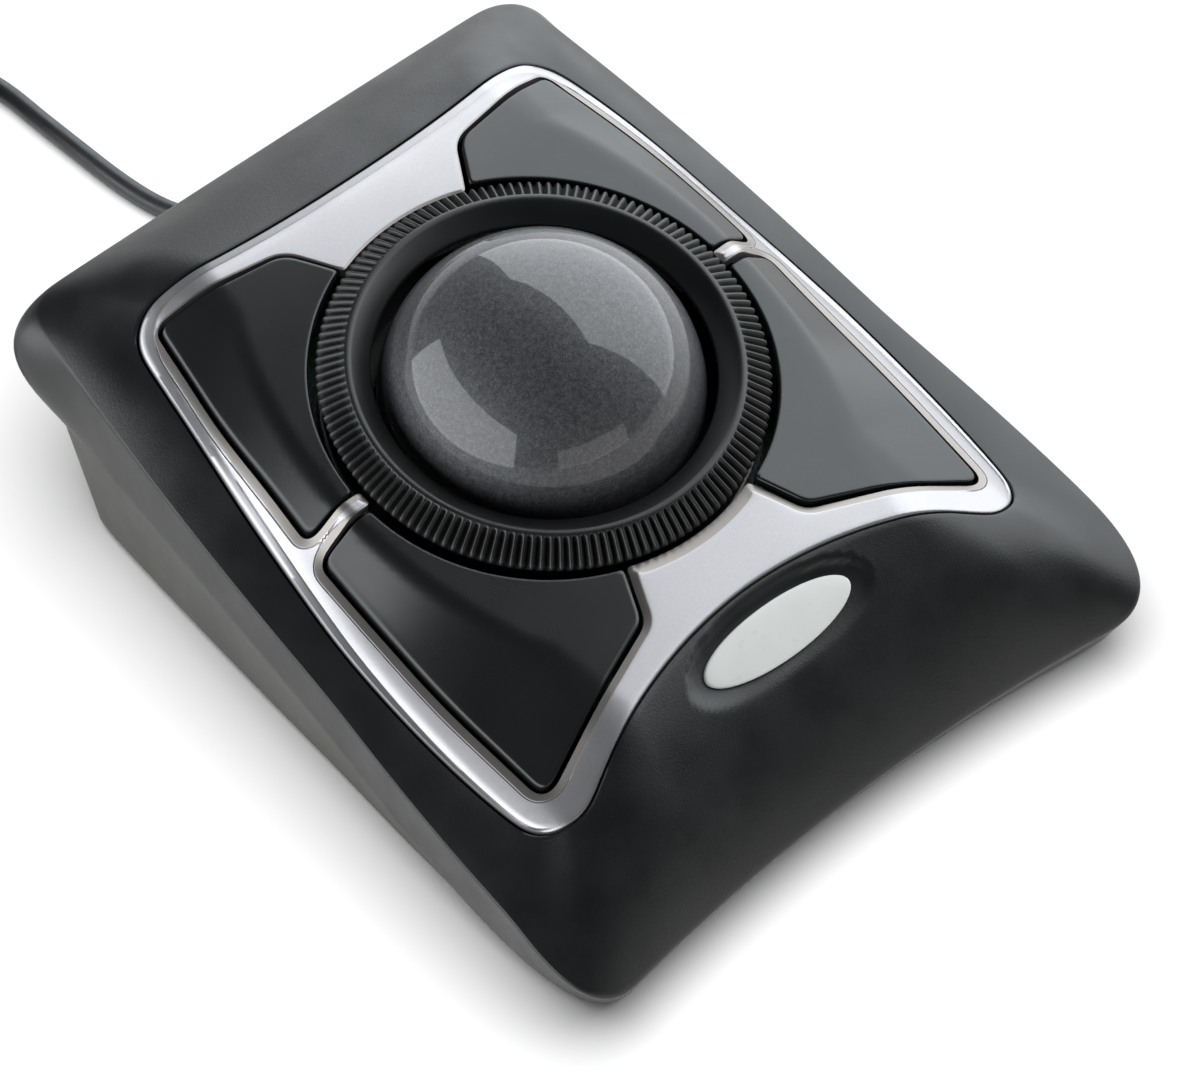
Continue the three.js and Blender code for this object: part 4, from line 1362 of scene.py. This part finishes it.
def make_feet():
    """Rubber pads with a rounded lower edge."""
    for name, place in FEET.items():
        loops = []
        for z, less in ((FOOT_HEIGHT, 0.0), (0.45, 0.0), (0.2, 0.08), (0.06, 0.25), (0.0, 0.55)):
            outline = rounded_box(FOOT_HALF[0] - less, FOOT_HALF[1] - less, 4 - less, place)
            loops.append(raised(outline, z))
        pad = make_piece(f"pad_{name}", capped(loops), [RUBBER])
        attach(pad, "case")
        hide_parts(f"foot_{name}")


def cross_outline(centre):
    """The four-armed recess for a screwdriver."""
    corners = []
    for quarter in range(4):
        cos, sin = (1, 0, -1, 0)[quarter], (0, 1, 0, -1)[quarter]
        for a, b in ((1.5, 0.3), (0.42, 0.42), (0.3, 1.5)):
            corners.append((centre[0] + a * cos - b * sin, centre[1] + a * sin + b * cos, 0.12))
    return round_corners(corners, 3)


def screw_skin(x, y, boss):
    """A pan head with a cross recess, and a plain shank above it."""
    head_bottom, head_top = boss - WELL_ROOF - 2.2, boss - WELL_ROOF - PIECE_GAP
    face = head_bottom + 0.06
    profile = ((2.6, head_top), (2.6, head_bottom + 0.7), (2.3, head_bottom + 0.3))
    profile += ((1.8, head_bottom + 0.1), (1.7, face))
    skin = lofted([raised(circle(radius, 48, (x, y)), z) for radius, z in profile])
    cross = cross_outline((x, y))
    flat, faces = fill([circle(1.7, 48, (x, y)), cross], 1.0)
    for corners in faces:
        skin.face([(flat[i][0], flat[i][1], face) for i in corners])
    tapered = (cross - [x, y]) * 0.6 + [x, y]
    skin.band(raised(cross, face), raised(tapered, face + 1.1))
    skin.fan(raised(tapered, face + 1.1))
    shank = [raised(circle(1.3, 24, (x, y)), z) for z in (head_top, boss + 8)]
    skin.loft(shank)
    skin.fan(shank[-1])
    return skin


def make_screws():
    """The case screws, seen at the roof of their wells."""
    for number, place in enumerate(SCREWS, 1):
        screw = make_piece(f"screw_{number}", screw_skin(*place), [STEEL])
        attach(screw, "case")
        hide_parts(f"case_screw_{number}")


def make_label():
    loops = []
    for lift, less in ((0.25, 0), (-0.05, 0), (-0.1, 0.05)):
        outline = rounded_box(LABEL_HALF[0] - less, LABEL_HALF[1] - less, 2)
        loops.append(raised(outline, BASE_BOTTOM + lift))
    label = make_piece("label_plate", capped(loops), [LABEL])
    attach(label, "case")
    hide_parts("blank_label")


def make_badge():
    """A plain oval with a softly rounded edge and a slightly crowned face."""
    half_length, half_width = BADGE_REACH
    edge = [(1.0, 0.0), (1.0, 0.62), (0.985, 0.82), (0.96, 0.93), (0.9, 0.98)]
    angles = np.arange(120) * math.pi / 60
    loops = []
    for part, z in edge + [(0.7, 1.05), (0.4, 1.1)]:
        inset = (1 - part) * half_width
        a, b = half_length - inset, half_width - inset
        loops.append([(a * math.cos(t), b * math.sin(t), z) for t in angles])
    badge = make_piece("oval_badge", capped(loops), [BADGE], BADGE_FRAME, 40)
    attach(badge, "case")
    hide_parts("badge")


# ---------------- the works inside

NODE_MATERIALS = {
    "cup_plastic": CUP,
    "steel": STEEL,
    "circuit_board": BOARD,
    "chip_plastic": CHIP,
    "lens_plastic": LENS,
    "white_plastic": WHITE,
}


def paint_works():
    """Every CAD node that stays visible takes its slot's procedural material."""
    slots = {entry["node"]: entry["material_slot"] for entry in frame["record"]["subparts"]}
    for name, node in frame["nodes"].items():
        surface = NODE_MATERIALS.get(slots[name])
        if surface:
            node.data.materials.clear()
            node.data.materials.append(surface)


# ---------------- studio


def area_light(name, place, target, size, power, colour=(1, 1, 1)):
    """A rectangular light at a place, facing a target."""
    data = bpy.data.lights.new(name, "AREA")
    data.shape = "RECTANGLE"
    data.size, data.size_y = size
    data.energy = power
    data.color = colour
    light = bpy.data.objects.new(name, data)
    light.location = place
    way = Vector(target) - Vector(place)
    light.rotation_mode = "QUATERNION"
    light.rotation_quaternion = way.to_track_quat("-Z", "Y")
    bpy.context.scene.collection.objects.link(light)
    return light


def power_of(size, radiance):
    return radiance * math.pi * size[0] * size[1]


# Sizes in the studio are in metres.
FLOOR_HALF = 3
WORLD_COLOUR = (0.92, 0.96, 1.0, 1)
WORLD_STRENGTH = 0.05
WALL_RADIANCE = 4.6  # at the wall's top; it darkens evenly to WALL_FOOT of that at the floor
WALL_FOOT = 0.58
WALL_COLOUR = (0.92, 0.97, 1)
WALL_AWAY, WALL_TOP = 0.42, 0.97
WALL_FRONT, WALL_REAR = -0.36, 1.1
WALL_STRIPS = 8
LEFT_RADIANCE = 4.2
LEFT_COLOUR = (0.93, 0.975, 1)
LEFT_AWAY, LEFT_WIDTH, LEFT_HEIGHT = 0.62, 1.3, 0.39
LEFT_TURN = math.radians(-76)
FRONT_PLACE, FRONT_SIZE, FRONT_POWER = (-0.1, -0.8, 0.1), (0.7, 0.2), 0.65
TABLE_LIGHT_WIDTH = 1.6
TABLE_LIGHT_HEIGHT = 1.2
TABLE_LIGHT_RADIANCE = 3.4


def link_light(light, floor, state):
    """With INCLUDE the light reaches the floor alone, with EXCLUDE everything but the floor."""
    group = bpy.data.collections.new(f"{light.name}_reach")
    group.objects.link(floor)
    light.light_linking.receiver_collection = group
    group.collection_objects[0].light_linking.link_state = state


def make_floor():
    """A plain white table."""
    mesh = bpy.data.meshes.new("floor")
    half = FLOOR_HALF
    corners = [(-half, -half, 0), (half, -half, 0), (half, half, 0), (-half, half, 0)]
    mesh.from_pydata(corners, [], [(0, 1, 2, 3)])
    floor = bpy.data.objects.new("floor", mesh)
    bpy.context.scene.collection.objects.link(floor)
    paper = bpy.data.materials.new("paper")
    paper.use_nodes = True
    surface = paper.node_tree.nodes["Principled BSDF"]
    surface.inputs["Base Color"].default_value = (0.9, 0.9, 0.9, 1)
    surface.inputs["Roughness"].default_value = 0.9
    mesh.materials.append(paper)
    return floor


def wall_lights():
    """A tall soft wall on the right, in level strips that are brighter towards its top."""
    middle, length = (WALL_FRONT + WALL_REAR) / 2, WALL_REAR - WALL_FRONT
    size = (length, WALL_TOP / WALL_STRIPS)
    lights = []
    for level in range(WALL_STRIPS):
        share = (level + 0.5) / WALL_STRIPS
        radiance = WALL_RADIANCE * (WALL_FOOT + (1 - WALL_FOOT) * share)
        height = WALL_TOP * share
        place, target = (WALL_AWAY, middle, height), (0, middle, height)
        power = power_of(size, radiance)
        lights.append(area_light(f"wall_{level + 1}", place, target, size, power, WALL_COLOUR))
    return lights


def left_light():
    """A low soft panel on the left."""
    height = LEFT_HEIGHT / 2
    place = (math.sin(LEFT_TURN) * LEFT_AWAY, math.cos(LEFT_TURN) * LEFT_AWAY, height)
    size = (LEFT_WIDTH, LEFT_HEIGHT)
    power = power_of(size, LEFT_RADIANCE)
    return area_light("left_panel", place, (0, 0, height), size, power, LEFT_COLOUR)


def make_studio():
    """Lights for the object alone, and one for the table alone, which gives the soft shadow."""
    scene = bpy.context.scene
    scene.view_settings.view_transform = "Standard"
    scene.world = bpy.data.worlds.new("studio")
    scene.world.use_nodes = True
    background = scene.world.node_tree.nodes["Background"]
    background.inputs["Color"].default_value = WORLD_COLOUR
    background.inputs["Strength"].default_value = WORLD_STRENGTH
    floor = make_floor()
    front_card = area_light("front_card", FRONT_PLACE, (0, 0, 0.1), FRONT_SIZE, FRONT_POWER)
    for light in wall_lights() + [left_light(), front_card]:
        link_light(light, floor, "EXCLUDE")
    size = (TABLE_LIGHT_WIDTH, TABLE_LIGHT_WIDTH)
    power = power_of(size, TABLE_LIGHT_RADIANCE)
    table_light = area_light("table_light", (0, 0, TABLE_LIGHT_HEIGHT), (0, 0, 0), size, power)
    link_light(table_light, floor, "INCLUDE")


make_camera()
make_studio()
relief = make_strain_relief()
plug = make_plug()
tie = make_tie()
make_lead()
paint_works()
make_trim()
make_buttons()
make_ring()
make_ball()
make_cover()
make_base()
make_feet()
make_screws()
make_label()
make_badge()
